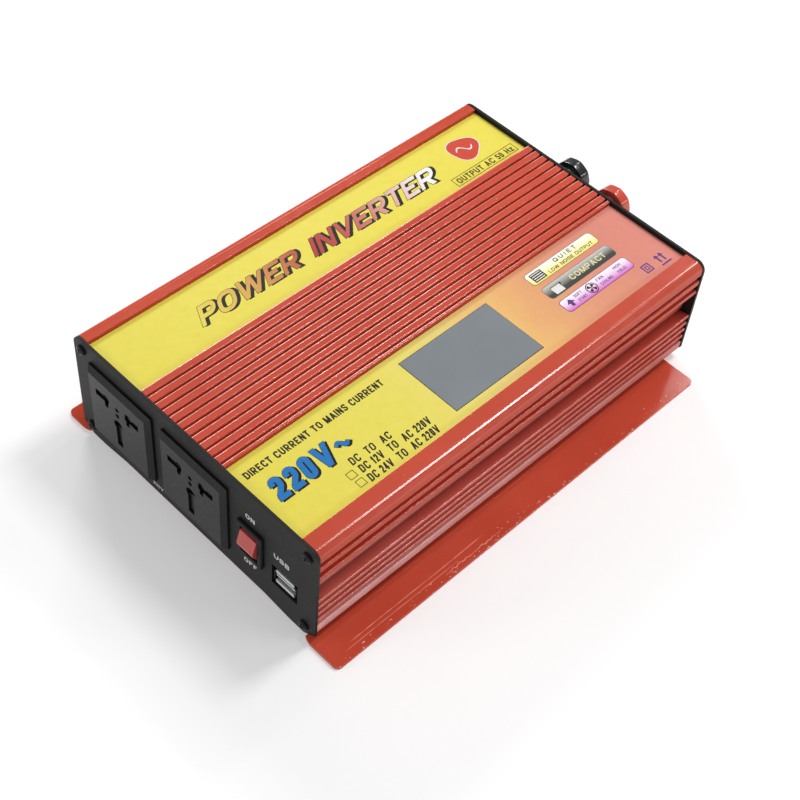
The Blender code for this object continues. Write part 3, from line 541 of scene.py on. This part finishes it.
# ---------------------------------------------------------------- printing

LAYER = 0.03
OVERLAP = 0.01


def lay(mesh, level):
    """Set a flat solid's depth: local z from just inside the layer below to its own layer's top."""
    low = min(vertex.co.z for vertex in mesh.verts)
    high = max(vertex.co.z for vertex in mesh.verts)
    for vertex in mesh.verts:
        share = (vertex.co.z - low) / (high - low)
        vertex.co.z = level * LAYER - OVERLAP + share * (LAYER + OVERLAP)


# Letters are pen strokes. Each letter is its width against its height and then its strokes, whose
# points run from 0 to 1 over the letter. A third number in a point rounds the corner there, "ring"
# closes a stroke, and "slash" is a sloping bar with level ends.
RING = ((0, 0, 1), (1, 0, 1), (1, 1, 1), (0, 1, 1), "ring")
LETTERS = {
    " ": (0.34,),
    "A": (0.86, ("slash", 0, 0, 0.5, 1), ("slash", 1, 0, 0.5, 1), ((0.22, 0.25), (0.78, 0.25))),
    "B": (
        0.76, ((0, 0.5), (1, 0.5, 1), (1, 0, 1), (0, 0)),
        ((0, 0.5), (0.94, 0.5, 1), (0.94, 1, 1), (0, 1)), ((0, 0), (0, 1)),
    ),
    "C": (0.8, ((1, 0.72), (1, 1, 1), (0, 1, 1), (0, 0, 1), (1, 0, 1), (1, 0.28))),
    "D": (0.8, ((0, 0), (1, 0, 1), (1, 1, 1), (0, 1), "ring")),
    "E": (0.72, ((1, 1), (0, 1), (0, 0), (1, 0)), ((0, 0.5), (0.9, 0.5))),
    "F": (0.7, ((1, 1), (0, 1), (0, 0)), ((0, 0.5), (0.85, 0.5))),
    "G": (0.84, ((1, 0.74), (1, 1, 1), (0, 1, 1), (0, 0, 1), (1, 0, 1), (1, 0.46), (0.6, 0.46))),
    "H": (0.78, ((0, 0), (0, 1)), ((1, 0), (1, 1)), ((0, 0.5), (1, 0.5))),
    "I": (0.2, ((0.5, 0), (0.5, 1))),
    "L": (0.64, ((0, 1), (0, 0), (1, 0))),
    "M": (
        0.96, ((0, 0), (0, 1)), ((1, 0), (1, 1)), ("slash", 0, 1, 0.5, 0), ("slash", 1, 1, 0.5, 0),
    ),
    "N": (0.8, ((0, 0), (0, 1)), ((1, 0), (1, 1)), ("slash", 0, 1, 1, 0)),
    "O": (0.84, RING),
    "P": (0.76, ((0, 0), (0, 1)), ((0, 1), (1, 1, 1), (1, 0.42, 1), (0, 0.42))),
    "Q": (0.86, RING, ("slash", 0.58, 0.36, 1, 0)),
    "R": (
        0.8, ((0, 0), (0, 1)), ((0, 1), (1, 1, 1), (1, 0.42, 1), (0, 0.42)),
        ("slash", 0.5, 0.4, 1, 0),
    ),
    "S": (0.76, (
        (1, 0.76), (1, 1, 1), (0, 1, 1), (0, 0.5, 1), (1, 0.5, 1), (1, 0, 1), (0, 0, 1), (0, 0.24),
    )),
    "T": (0.74, ((0, 1), (1, 1)), ((0.5, 0), (0.5, 1))),
    "U": (0.8, ((0, 1), (0, 0, 1), (1, 0, 1), (1, 1))),
    "V": (0.86, ("slash", 0, 1, 0.5, 0), ("slash", 1, 1, 0.5, 0)),
    "W": (
        1.24, ("slash", 0, 1, 0.25, 0), ("slash", 0.5, 1, 0.25, 0),
        ("slash", 0.5, 1, 0.75, 0), ("slash", 1, 1, 0.75, 0),
    ),
    "Y": (0.82, ("slash", 0, 1, 0.5, 0.4), ("slash", 1, 1, 0.5, 0.4), ((0.5, 0), (0.5, 0.5))),
    "z": (0.6, ((0, 0), (1, 0)), ((0, 0.7), (1, 0.7)), ("slash", 1, 0.72, 0, 0)),
    "0": (0.6, RING),
    "1": (0.42, ((0.8, 0), (0.8, 1)), ("slash", 0.8, 1, 0, 0.62)),
    "2": (0.6, ((0, 0.7), (0, 1, 1), (1, 1, 1), (1, 0.56, 0.7), (0, 0.12)), ((0, 0), (1, 0))),
    "4": (0.64, ((0.72, 0), (0.72, 1)), ((0, 0.26), (1, 0.26)), ("slash", 0.66, 1, 0, 0.26)),
    "5": (0.6, ((1, 1), (0, 1), (0, 0.56), (1, 0.6, 1), (1, 0, 1), (0, 0, 1), (0, 0.22))),
    "~": (
        0.8, tuple((i / 16, 0.48 + 0.14 * math.sin(2 * math.pi * i / 16)) for i in range(17)),
    ),
    "+": (0.7, ((0.5, 0.1), (0.5, 0.9)), ((0.02, 0.5), (0.98, 0.5))),
    "-": (0.5, ((0.02, 0.5), (0.98, 0.5))),
}


def rounded_path(points, closed):
    """A path's points with its corners rounded; a point is (place, radius)."""
    result = []
    for i, (corner, radius) in enumerate(points):
        before = corner - points[i - 1][0]
        after = points[(i + 1) % len(points)][0] - corner
        turn = math.atan2(before.x * after.y - before.y * after.x, before.dot(after))
        inner = closed or 0 < i < len(points) - 1
        if not inner or radius == 0 or abs(turn) < 0.02:
            result.append(corner)
            continue
        lean = math.tan(abs(turn) / 2)
        reach = min(radius * lean, before.length * 0.499, after.length * 0.499)
        start = corner - before.normalized() * reach
        side = math.copysign(reach / lean, turn)
        centre = start + Vector((-before.y, before.x)).normalized() * side
        for step in range(8):
            result.append(centre + Matrix.Rotation(turn * step / 7, 2) @ (start - centre))
    return result


def sides_of(path, half, closed):
    """Points half a pen's width to the left and to the right of a path."""
    left, right = [], []
    last = len(path) - 1
    for i, spot in enumerate(path):
        ahead = path[(i + 1) % (last + 1)] - spot if closed or i < last else spot - path[i - 1]
        behind = spot - path[i - 1] if closed or i > 0 else ahead
        ahead = ahead.normalized()
        behind = behind.normalized()
        middle = (ahead + behind).normalized()
        normal = Vector((-middle.y, middle.x))
        reach = half / max(0.5, normal.dot(Vector((-behind.y, behind.x))))
        left.append(spot + normal * reach)
        right.append(spot - normal * reach)
    return left, right


def add_stroke(mesh, left, right, closed, top):
    """Solid band between two sides, from depth 0 to top."""
    rings = []
    for a, b in zip(left, right):
        rings.append([(p.x, p.y, z) for p, z in ((a, 0), (b, 0), (b, top), (a, top))])
    loft(mesh, rings, closed)


def draw_letter(mesh, letter, left, width, height, pen, grow, corner):
    """One letter from left, its strokes pen wide and grown by grow on every side."""
    def inset(share, whole, edge):
        return edge / 2 + share * (whole - edge)
    if letter == "~":
        pen *= 0.7
    for index, stroke in enumerate(LETTERS[letter][1:]):
        top = 1 + 0.04 * (index % 3)  # crossing strokes never share a top face
        if stroke[0] == "slash":
            x0, y0, x1, y1 = stroke[1:]
            run = abs(x1 - x0) * (width - pen)
            rise = abs(y1 - y0) * height
            flat = pen * math.hypot(run, rise) / rise
            a = Vector((left + inset(x0, width, flat), y0 * height))
            b = Vector((left + inset(x1, width, flat), y1 * height))
            more = (b - a) * (grow / rise)
            half = Vector((flat / 2 + grow * math.hypot(run, rise) / rise, 0))
            a, b = a - more, b + more
            add_stroke(mesh, [a - half, b - half], [a + half, b + half], False, top)
            continue
        closed = stroke[-1] == "ring"
        points = []
        for spot in stroke[:-1] if closed else stroke:
            place = Vector((left + inset(spot[0], width, pen), inset(spot[1], height, pen)))
            points.append((place, corner * spot[2] if len(spot) > 2 else 0.0))
        path = rounded_path(points, closed)
        if not closed:
            for end, beside, spot in ((0, 1, stroke[0]), (-1, -2, stroke[-1])):
                away = (path[end] - path[beside]).normalized()
                main = 0 if abs(away.x) > abs(away.y) else 1
                at_edge = spot[main] in (0, 1) and letter not in "~+-"
                path[end] = path[end] + away * (grow + (pen / 2 if at_edge else 0.0))
        add_stroke(mesh, *sides_of(path, pen / 2 + grow, closed), closed, top)


def letters_mesh(words, length, height, weight, grow, gap, corner):
    """Words that fill length by height from (0, 0), as one bmesh 1 unit deep."""
    widths = [LETTERS[letter][0] * height for letter in words]
    total = sum(widths) + gap * height * (len(words) - 1)
    scale = length / total
    mesh = bmesh.new()
    left = 0.0
    pen, corner = weight * height, corner * height
    for letter, width in zip(words, widths):
        draw_letter(mesh, letter, left, width * scale, height, pen, grow, corner)
        left += (width + gap * height) * scale
    return mesh


def shape_mesh(loops):
    """Solid between the given closed loops of (u, v) points; inner loops are holes."""
    curve = bpy.data.curves.new("shape", "CURVE")
    curve.dimensions = "2D"
    curve.fill_mode = "BOTH"
    curve.extrude = 0.01
    for loop in loops:
        spline = curve.splines.new("POLY")
        spline.points.add(len(loop) - 1)
        for point, (u, v) in zip(spline.points, loop):
            point.co = (u, v, 0.0, 1.0)
        spline.use_cyclic_u = True
    thing = bpy.data.objects.new("shape", curve)
    bpy.context.collection.objects.link(thing)
    data = evaluated_mesh(thing)
    bpy.data.objects.remove(thing, do_unlink=True)
    bpy.data.curves.remove(curve)
    mesh = bmesh.new()
    mesh.from_mesh(data)
    bpy.data.meshes.remove(data)
    bmesh.ops.remove_doubles(mesh, verts=mesh.verts, dist=0.00001)
    return mesh


class Face:
    """A flat face to print on: where (u, v) = (0, 0) is, and the reading and up directions."""

    def __init__(self, origin, right, up):
        self.origin = Vector(origin)
        self.right = Vector(right)
        self.up = Vector(up)
        self.out = self.right.cross(self.up)

    def place(self, mesh):
        for vertex in mesh.verts:
            u, v, w = vertex.co
            vertex.co = self.origin + self.right * u + self.up * v + self.out * w

    def words(
        self, name, words, left, base, length, height, material, level=0,
        weight=0.17, slant=0.0, grow=0.0, gap=0.18, corner=0.3,
    ):
        """Lettering that fills length by height with its foot at (left, base)."""
        mesh = letters_mesh(words, length, height, weight, grow, gap, corner)
        for vertex in mesh.verts:
            vertex.co.x = left + vertex.co.x + slant * vertex.co.y
            vertex.co.y = base + vertex.co.y
        self.print_on(name, mesh, material, level)

    def shape(self, name, loops, material, level=0):
        self.print_on(name, shape_mesh(loops), material, level)

    def print_on(self, name, mesh, material, level):
        lay(mesh, level)
        self.place(mesh)
        finish_mesh(name, mesh, material, smooth=20.0)


def rounded(u0, u1, v0, v1, r, steps=6):
    """A rounded rectangle's outline."""
    points = []
    corners = ((u1 - r, v0 + r), (u1 - r, v1 - r), (u0 + r, v1 - r), (u0 + r, v0 + r))
    for quarter, (u, v) in enumerate(corners):
        for i in range(steps + 1):
            angle = math.radians(90 * (quarter - 1 + i / steps))
            points.append((u + r * math.cos(angle), v + r * math.sin(angle)))
    return points


def rectangle(u0, u1, v0, v1):
    return [(u0, v0), (u1, v0), (u1, v1), (u0, v1)]


def outline(u0, u1, v0, v1, line):
    """A rectangular line as two loops."""
    return [rectangle(u0, u1, v0, v1), rectangle(u0 + line, u1 - line, v0 + line, v1 - line)]


def disc(u, v, radius, count=32):
    return [(x, z) for x, _, z in ring_of((u, v), radius, 0.0, count)]


# On the lid the words read towards the battery end with their tops to the left: u is y, v is -x.
LID = Face((0, 0, LABEL_TOP), (0, 1, 0), (-1, 0, 0))
FRONT = Face((0, PLATE_FRONT, 0), (1, 0, 0), (0, 0, 1))
REAR = Face((0, PLATE_REAR, 0), (-1, 0, 0), (0, 0, 1))

INK_BLACK = ink("ink_black", linear(44, 42, 34))
INK_SHADOW = ink("ink_shadow", linear(32, 29, 18))
INK_WHITE = ink("ink_white", linear(226, 226, 224))
INK_BLUE = ink("ink_blue", linear(38, 118, 186))
INK_VIOLET = ink("ink_violet", linear(92, 62, 128))
INK_BADGE = ink("ink_badge", linear(204, 74, 56))
INK_OLIVE = ink("ink_olive", linear(84, 78, 34))
INK_GREY = ink("ink_grey", linear(120, 118, 112))
INK_CREAM = ink("ink_cream", linear(222, 216, 164))

TITLE_INK = gradient_ink(
    "ink_title", "Y", 42.0, 193.0,
    (0.0, linear(229, 214, 84)), (0.12, linear(220, 188, 80)), (0.25, linear(206, 148, 76)),
    (0.37, linear(188, 104, 66)), (0.45, linear(174, 58, 48)), (0.56, linear(182, 74, 64)),
    (0.7, linear(202, 126, 112)), (0.84, linear(224, 190, 180)), (0.94, linear(236, 232, 230)),
    (1.0, linear(238, 238, 240)),
)


def outlined(name, words, left, base, length, height, fill, drop, grow, **look):
    """Big words in a dark outline, with a shadow dropped by (u, v) under them.

    grow is how much wider than the words the shadow and the outline are on each side.
    """
    place = (length, height)
    shadow_grow, edge_grow = grow
    u, v = left + drop[0], base + drop[1]
    LID.words(name + "_shadow", words, u, v, *place, INK_SHADOW, 0, grow=shadow_grow, **look)
    LID.words(name + "_edge", words, left, base, *place, INK_BLACK, 1, grow=edge_grow, **look)
    LID.words(name + "_fill", words, left, base, *place, fill, 2, **look)


for words, left, length in (("POWER", 43.4, 57.2), ("INVERTER", 108.8, 79.0)):
    outlined(
        "title_" + words.lower(), words, left, 45.1, length, 10.8, TITLE_INK,
        drop=(1.5, -0.6), grow=(0.2, 0.22), weight=0.2, slant=0.5, gap=0.1,
    )


def badge():
    """Rounded red mark near the rear end of the left label, with a plain sine sign on it."""
    middle_u, middle_v = 215.0, 53.6

    def egg(radius):
        points = []
        for i in range(48):
            angle = 2 * math.pi * i / 48
            reach = radius * (1 + 0.1 * math.cos(3 * angle - 0.6))
            u, v = 1.02 * reach * math.cos(angle), 0.93 * reach * math.sin(angle)
            points.append((middle_u + u, middle_v + v))
        return points
    LID.shape("badge_rim", [egg(8.7)], INK_WHITE, 0)
    LID.shape("badge_face", [egg(8.2)], INK_BADGE, 1)
    length, rise, half_line, steps = 10.0, 2.1, 0.5, 24
    middle_line = []
    for i in range(steps + 1):
        share = i / steps
        u = middle_u - length / 2 + length * share
        middle_line.append((u, middle_v + rise * math.sin(2 * math.pi * share)))
    wave = [(u, v + half_line) for u, v in middle_line]
    wave += [(u, v - half_line) for u, v in reversed(middle_line)]
    LID.shape("badge_wave", [wave], INK_WHITE, 2)


badge()
LID.shape("rating_box", outline(193.3, 235.4, 35.6, 41.6, 0.35), INK_OLIVE, 0)
LID.words("rating_box_words", "OUTPUT AC 50 Hz", 195.2, 36.7, 38.4, 3.7, INK_OLIVE, weight=0.2)

purpose = "DIRECT CURRENT TO MAINS CURRENT"
LID.words("purpose_words", purpose, 3.8, -29.7, 76.0, 3.7, INK_BLACK, weight=0.2)
outlined(
    "voltage", "220V~", 6.6, -46.7, 41.0, 11.6, INK_BLUE,
    drop=(0.8, -0.8), grow=(0.15, 0.15), weight=0.22, slant=0.14,
)
for row, words, left, base, length, height in (
    (1, "DC  TO  AC", 40.0, -52.4, 22.4, 4.0),
    (2, "DC 12V  TO  AC 220V", 40.6, -57.7, 39.6, 4.1),
    (3, "DC 24V  TO  AC 220V", 40.2, -63.3, 39.6, 4.1),
):
    name = "input_words_%d" % row
    LID.words(name, words, left, base, length, height, INK_BLACK, weight=0.18, slant=0.12)
LID.shape("input_box_2", outline(34.4, 38.4, -57.3, -53.5, 0.3), INK_OLIVE, 0)
LID.shape("input_box_3", outline(34.8, 38.7, -62.5, -58.7, 0.3), INK_OLIVE, 0)


def pill(number, low, high, rim, *stops):
    """Rounded badge on the right label between two x, its colour running across it."""
    name = "pill_%d" % number
    face = gradient_ink("ink_" + name, "X", low, high, *stops)
    LID.shape(name + "_rim", [rounded(171.2, 216.8, -high, -low, 2.0)], rim, 0)
    LID.shape(name + "_face", [rounded(171.5, 216.5, 0.3 - high, -low - 0.3, 1.8)], face, 1)


pill(
    1, 25.1, 33.1, INK_GREY,
    (0.0, linear(250, 250, 250)), (0.3, linear(246, 244, 214)), (1.0, linear(240, 226, 92)),
)
pill(
    2, 35.9, 43.9, INK_GREY,
    (0.0, linear(206, 206, 204)), (0.25, linear(170, 168, 160)), (0.7, linear(70, 70, 64)),
    (1.0, linear(60, 60, 56)),
)
pill(
    3, 46.5, 54.5, INK_VIOLET,
    (0.0, linear(250, 246, 250)), (0.4, linear(240, 214, 238)), (1.0, linear(206, 84, 186)),
)


def pill_art():
    """Plain signs and words on the three pills."""
    LID.shape("pill_1_tile", [rectangle(173.6, 181.0, -32.0, -26.6)], INK_BLACK, 2)
    for i in range(4):
        v = -31.4 + 1.25 * i
        LID.shape("pill_1_line_%d" % i, [rectangle(174.2, 180.4, v, v + 0.55)], INK_WHITE, 3)
    LID.words("pill_1_words", "QUIET", 190.0, -28.6, 15.0, 2.2, INK_BLACK, 2, gap=0.5)
    LID.words("pill_1_small_words", "LOW NOISE OUTPUT", 183.2, -31.9, 30.0, 1.9, INK_BLACK, 2)
    box_top = [(175.2, -38.2), (182.6, -38.2), (180.9, -40.2), (176.9, -40.2)]
    LID.shape("pill_2_box_top", [box_top], INK_BLACK, 2)
    LID.shape("pill_2_box_face", [rectangle(175.4, 181.0, -43.0, -38.6)], INK_WHITE, 3)
    LID.words("pill_2_words", "COMPACT", 187.5, -41.5, 24.0, 3.2, INK_CREAM, 2, weight=0.2)
    arrow = [
        (175.4, -52.6), (177.2, -52.6), (177.2, -50.6), (178.6, -50.6), (176.3, -48.0),
        (174.0, -50.6), (175.4, -50.6),
    ]
    LID.shape("pill_3_arrow", [arrow], INK_VIOLET, 2)
    hub_u, hub_v = 190.4, -50.5
    ring = [disc(hub_u, hub_v, 3.2), disc(hub_u, hub_v, 2.75)]
    LID.shape("pill_3_fan_ring", ring, INK_BLACK, 2)
    for i in range(4):
        blade = [(hub_u, hub_v)]
        for j in range(7):
            angle = math.pi / 2 * i + 0.4 + 0.85 * j / 6
            blade.append((hub_u + 2.4 * math.cos(angle), hub_v + 2.4 * math.sin(angle)))
        LID.shape("pill_3_fan_blade_%d" % i, [blade], INK_BLACK, 2)
    for number, words, left, base, length, height in (
        (1, "SOFT", 180.0, -49.6, 5.0, 1.6), (2, "START", 180.0, -52.6, 5.6, 1.6),
        (3, "FAN", 195.4, -49.6, 4.4, 1.7), (4, "COOLING", 195.4, -52.6, 8.0, 1.6),
        (5, "HIGH", 207.0, -49.6, 5.0, 1.6), (6, "YIELD", 207.0, -52.6, 5.8, 1.6),
    ):
        name = "pill_3_words_%d" % number
        LID.words(name, words, left, base, length, height, INK_VIOLET, 2)


pill_art()


def lid_signs():
    """Two plain signs at the rear: double square for insulation, and this way up."""
    LID.shape("sign_square_outer", outline(217.2, 222.2, -61.6, -56.4, 0.7), INK_VIOLET, 0)
    LID.shape("sign_square_inner", outline(218.6, 220.8, -60.2, -57.8, 0.5), INK_VIOLET, 0)
    arrow = [(0.0, 0.0), (0.0, 3.4), (-1.0, 3.4), (0.5, 5.4), (2.0, 3.4), (1.0, 3.4), (1.0, 0.0)]
    for i in range(2):
        points = [(227.6 + 3.0 * i + du, -61.0 + dv) for du, dv in arrow]
        LID.shape("sign_arrow_%d" % (i + 1), [points], INK_VIOLET, 0)
    LID.shape("sign_bar", [rectangle(226.6, 233.2, -62.9, -62.1)], INK_VIOLET, 0)


lid_signs()

FRONT.words("on_words", "ON", 34.4, 44.6, 5.6, 2.8, INK_WHITE, weight=0.21)
FRONT.words("off_words", "OFF", 33.2, 12.7, 8.0, 2.8, INK_WHITE, weight=0.21)
FRONT.words("usb_words", "USB", 51.6, 34.9, 9.2, 2.9, INK_WHITE, weight=0.21)
FRONT.words("socket_words", "220V~", -27.4, 5.8, 9.0, 2.0, INK_WHITE)
REAR.words("plus_words", "+", -15.6, 34.6, 3.8, 4.4, INK_WHITE)
REAR.words("minus_words", "-", 10.4, 34.6, 3.8, 3.4, INK_WHITE)


# ---------------------------------------------------------------- socket shutters

def make_shutters(node):
    """Dark shutters just behind a socket's slots, in front of its contacts."""
    for which in ("live", "neutral", "earth"):
        low, high = node_box("%s_%s_contact" % (node, which))
        face = node_box(node)[0].y
        mesh = bmesh.new()
        corners = rectangle(low.x, high.x, low.z, high.z)
        loft(mesh, [[(x, y, z) for x, z in corners] for y in (face + 1.1, face + 1.6)])
        shutter = finish_mesh("%s_%s_shutter" % (node, which), mesh, BLACK_MOULD)


for node in ("left_socket", "right_socket"):
    make_shutters(node)


# ---------------------------------------------------------------- battery posts

def knob_radius(angle, radius, flats=9):
    """How far a many-sided grip reaches at an angle: flats between softly rounded corners."""
    turned_by, corner, blend, flatness = math.radians(38.0), 0.985, 0.012, 0.55
    half = math.pi / flats
    off = (angle + turned_by + half) % (2 * half) - half
    side = math.cos(half) / math.cos(half - abs(off))
    eased = side - blend * math.log1p(math.exp(min(30.0, (side - corner) / blend)))
    return radius * (1 - flatness * (1 - eased))


def make_knob(node, body, material):
    """Grip with rounded rims, a shallow dish in its outer face and a bore for the stud."""
    centre, radius, start, end = turned_place(node)
    bore, count, steps = 3.3, 180, 5
    inner_rim, outer_rim = 0.6, 1.2
    grip = []
    for i in range(steps + 1):
        turn = math.pi / 2 * i / steps
        grip.append((0.93 + 0.07 * math.sin(turn), start + inner_rim * (1 - math.cos(turn))))
    for i in range(steps + 1):
        turn = math.pi / 2 * i / steps
        y = end - outer_rim + outer_rim * math.sin(turn)
        grip.append((0.88 + 0.12 * math.cos(turn), y))
    rings = []
    for scale, y in grip:
        ring = []
        for i in range(count):
            angle = 2 * math.pi * i / count
            reach = knob_radius(angle, radius * scale)
            x, z = centre[0] + reach * math.cos(angle), centre[1] + reach * math.sin(angle)
            ring.append((x, y, z))
        rings.append(ring)
    dish = [(0.62 * radius, end), (0.58 * radius, end - 0.5), (bore + 0.4, end - 0.5)]
    hole = [(bore, end - 0.8), (bore, start + 0.2), (bore + 0.3, start)]
    rings += [ring_of(centre, reach, y, count) for reach, y in dish + hole]
    mesh = bmesh.new()
    loft(mesh, rings, closed=True)
    knob = finish_mesh(node + "_moulding", mesh, material, body, 40.0)
    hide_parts(node)


def make_stud(node):
    """Threaded stud: one thread of 1 mm pitch run along the bar, fading out at both ends."""
    centre, radius, low, high = turned_place(node)
    count, per_pitch, pitch, depth = 32, 8, 1.0, 0.342
    clearance, run_out, end_drop = 0.02, 0.8, 0.5
    steps = int((high - low) / pitch * per_pitch)
    rings = []
    for i in range(steps + 1):
        y = low + (high - low) * i / steps
        fade = min(1.0, (high - y) / run_out, (y - low) / run_out)
        ring = []
        for j in range(count):
            share = j / count
            crest = abs(2 * ((y / pitch - share) % 1.0) - 1)
            reach = radius - clearance - depth * (1 - crest) - end_drop * (1 - fade)
            angle = 2 * math.pi * share
            x, z = centre[0] + reach * math.cos(angle), centre[1] + reach * math.sin(angle)
            ring.append((x, y, z))
        rings.append(ring)
    mesh = bmesh.new()
    loft(mesh, rings)
    stud = finish_mesh(node + "_thread", mesh, NICKEL, "case", 60.0)
    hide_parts(node)


for colour, material in (("black", BLACK_KNOB), ("red", RED_KNOB)):
    make_knob(colour + "_post_knob", colour + "_post_cap", material)
    make_stud(colour + "_post_stud")


# ---------------------------------------------------------------- screws

def make_screw_head(node, inward):
    """Pan head with a cross recess, on a plain shank; inward is y's sign from head to tip."""
    centre, _, low, high = turned_place(node)
    top, tip = (low, high) if inward > 0 else (high, low)
    shank, head, crown, head_height, side_height = 1.2, 2.6, 0.7, 1.5, 1.0
    profile = [
        (shank - 0.05, tip), (shank, tip - inward * 0.4), (shank, top + inward * head_height),
        (head - 0.05, top + inward * head_height), (head, top + inward * (head_height - 0.1)),
        (head, top + inward * side_height),
    ]
    for i in range(1, 7):
        turn = math.pi / 2 * i / 6
        reach = head - (head - crown) * (1 - math.cos(turn))
        profile.append((reach, top + inward * side_height * (1 - math.sin(turn))))
    mesh = bmesh.new()
    loft(mesh, [ring_of(centre, radius, y, 40) for radius, y in profile])
    screw = finish_mesh(node + "_head", mesh, BLACK_STEEL, "case", 40.0)
    cross = bmesh.new()
    spin = random.uniform(0, math.pi / 2)
    for quarter in range(2):
        angle = spin + quarter * math.pi / 2
        along = Vector((math.cos(angle), math.sin(angle)))
        across = Vector((-math.sin(angle), math.cos(angle)))
        rings = []
        for depth, reach, half in ((-0.6, 1.6, 0.34), (0.3, 1.45, 0.3), (1.1, 0.45, 0.22)):
            ring = []
            for u, v in rectangle(-reach, reach, -half, half):
                x, z = Vector(centre) + along * u + across * v
                ring.append((x, top + inward * depth, z))
            rings.append(ring)
        loft(cross, rings)
    cutter = finish_mesh(node + "_cross", cross, BLACK_STEEL, "case")
    modifier = screw.modifiers.new("cross", "BOOLEAN")
    modifier.operation = "DIFFERENCE"
    modifier.solver = "EXACT"
    modifier.use_self = True
    modifier.object = cutter
    data = evaluated_mesh(screw)
    screw.modifiers.clear()
    old = screw.data
    screw.data = data
    bpy.data.meshes.remove(old)
    data.set_sharp_from_angle(angle=math.radians(35))
    bpy.data.objects.remove(cutter, do_unlink=True)
    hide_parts(node)


random.seed(4)
for node in sorted(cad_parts):
    if "screw" in node:
        make_screw_head(node, 1 if node.startswith("front") else -1)


# ---------------------------------------------------------------- stage

def make_floor():
    """White ground just below the mounting plate, with a little light of its own."""
    size, depth = 3.0, 0.05 * MM
    mesh = bmesh.new()
    mesh.faces.new([mesh.verts.new((x, y, -depth)) for x, y in rectangle(-size, size, -size, size)])
    data = bpy.data.meshes.new("floor")
    mesh.to_mesh(data)
    mesh.free()
    skin = Finish("floor_paper", (0.7, 0.7, 0.7), 0.9)
    skin.put("Base Color", skin.ramp(skin.noise(0.01, 2.0), (0.3, 0.69), (0.7, 0.71)))
    skin.put("Emission Color", (1.0, 1.0, 1.0, 1.0))
    skin.put("Emission Strength", 0.32)
    data.materials.append(skin.material)
    thing = bpy.data.objects.new("floor", data)
    bpy.context.collection.objects.link(thing)


make_floor()

CASE_MIDDLE = (0, 0, 0.04)
POSTS = (0, 0.12, 0.05)


def light(name, place, size, power, aim=CASE_MIDDLE):
    """White rectangular lamp. Places and sizes are in metres of the row frame, power in watts."""
    data = bpy.data.lights.new(name, "AREA")
    data.shape = "RECTANGLE"
    data.size, data.size_y = size
    data.energy = power
    thing = bpy.data.objects.new(name, data)
    thing.location = place
    thing.rotation_euler = (Vector(aim) - Vector(place)).to_track_quat("-Z", "Y").to_euler()
    bpy.context.collection.objects.link(thing)


light("top", (0.25, 0.05, 1.4), (1.0, 0.6), 0.8)
light("back", (0.14, 0.75, 1.4), (0.3, 0.4), 10.8)
light("key", (-1.0, 0.56, 0.74), (0.45, 0.13), 6.8)
light("glint_high", (-0.27, 1.1, 1.1), (0.16, 0.1), 1.5, POSTS)
light("glint_low", (0.95, 1.0, 0.48), (0.12, 0.12), 1.2, POSTS)
light("rim", (1.12, 0.66, 0.58), (0.5, 0.09), 3.8)
light("front", (-0.62, -1.0, 0.55), (0.4, 0.1), 2.2)


def make_world(low, high):
    """Grey sky whose strength runs from low at the horizon to high overhead."""
    world = bpy.context.scene.world or bpy.data.worlds.new("world")
    bpy.context.scene.world = world
    world.use_nodes = True
    sky = world.node_tree
    backdrop = sky.nodes["Background"]
    direction = sky.nodes.new("ShaderNodeTexCoord")
    split = sky.nodes.new("ShaderNodeSeparateXYZ")
    rise = sky.nodes.new("ShaderNodeMapRange")
    sky.links.new(direction.outputs["Generated"], split.inputs[0])
    sky.links.new(split.outputs["Z"], rise.inputs["Value"])
    sky.links.new(rise.outputs[0], backdrop.inputs["Strength"])
    rise.inputs["To Min"].default_value = low
    rise.inputs["To Max"].default_value = high
    backdrop.inputs["Color"].default_value = (1, 1, 1, 1)


make_world(0.27, 0.38)
bpy.context.scene.view_settings.view_transform = "Standard"

CAMERA_PLACE = (306.76, -230.58, 540.96)
CAMERA_TURN = (40.143, -3.923, 45.405)
camera_data = bpy.data.cameras.new("camera")
camera_data.sensor_width = 36
camera_data.lens = 67.916
camera_data.clip_start = 0.01
camera_data.clip_end = 50
camera = bpy.data.objects.new("camera", camera_data)
camera.location = at(*CAMERA_PLACE)
camera.rotation_euler = tuple(math.radians(angle) for angle in CAMERA_TURN)
bpy.context.collection.objects.link(camera)
bpy.context.scene.camera = camera
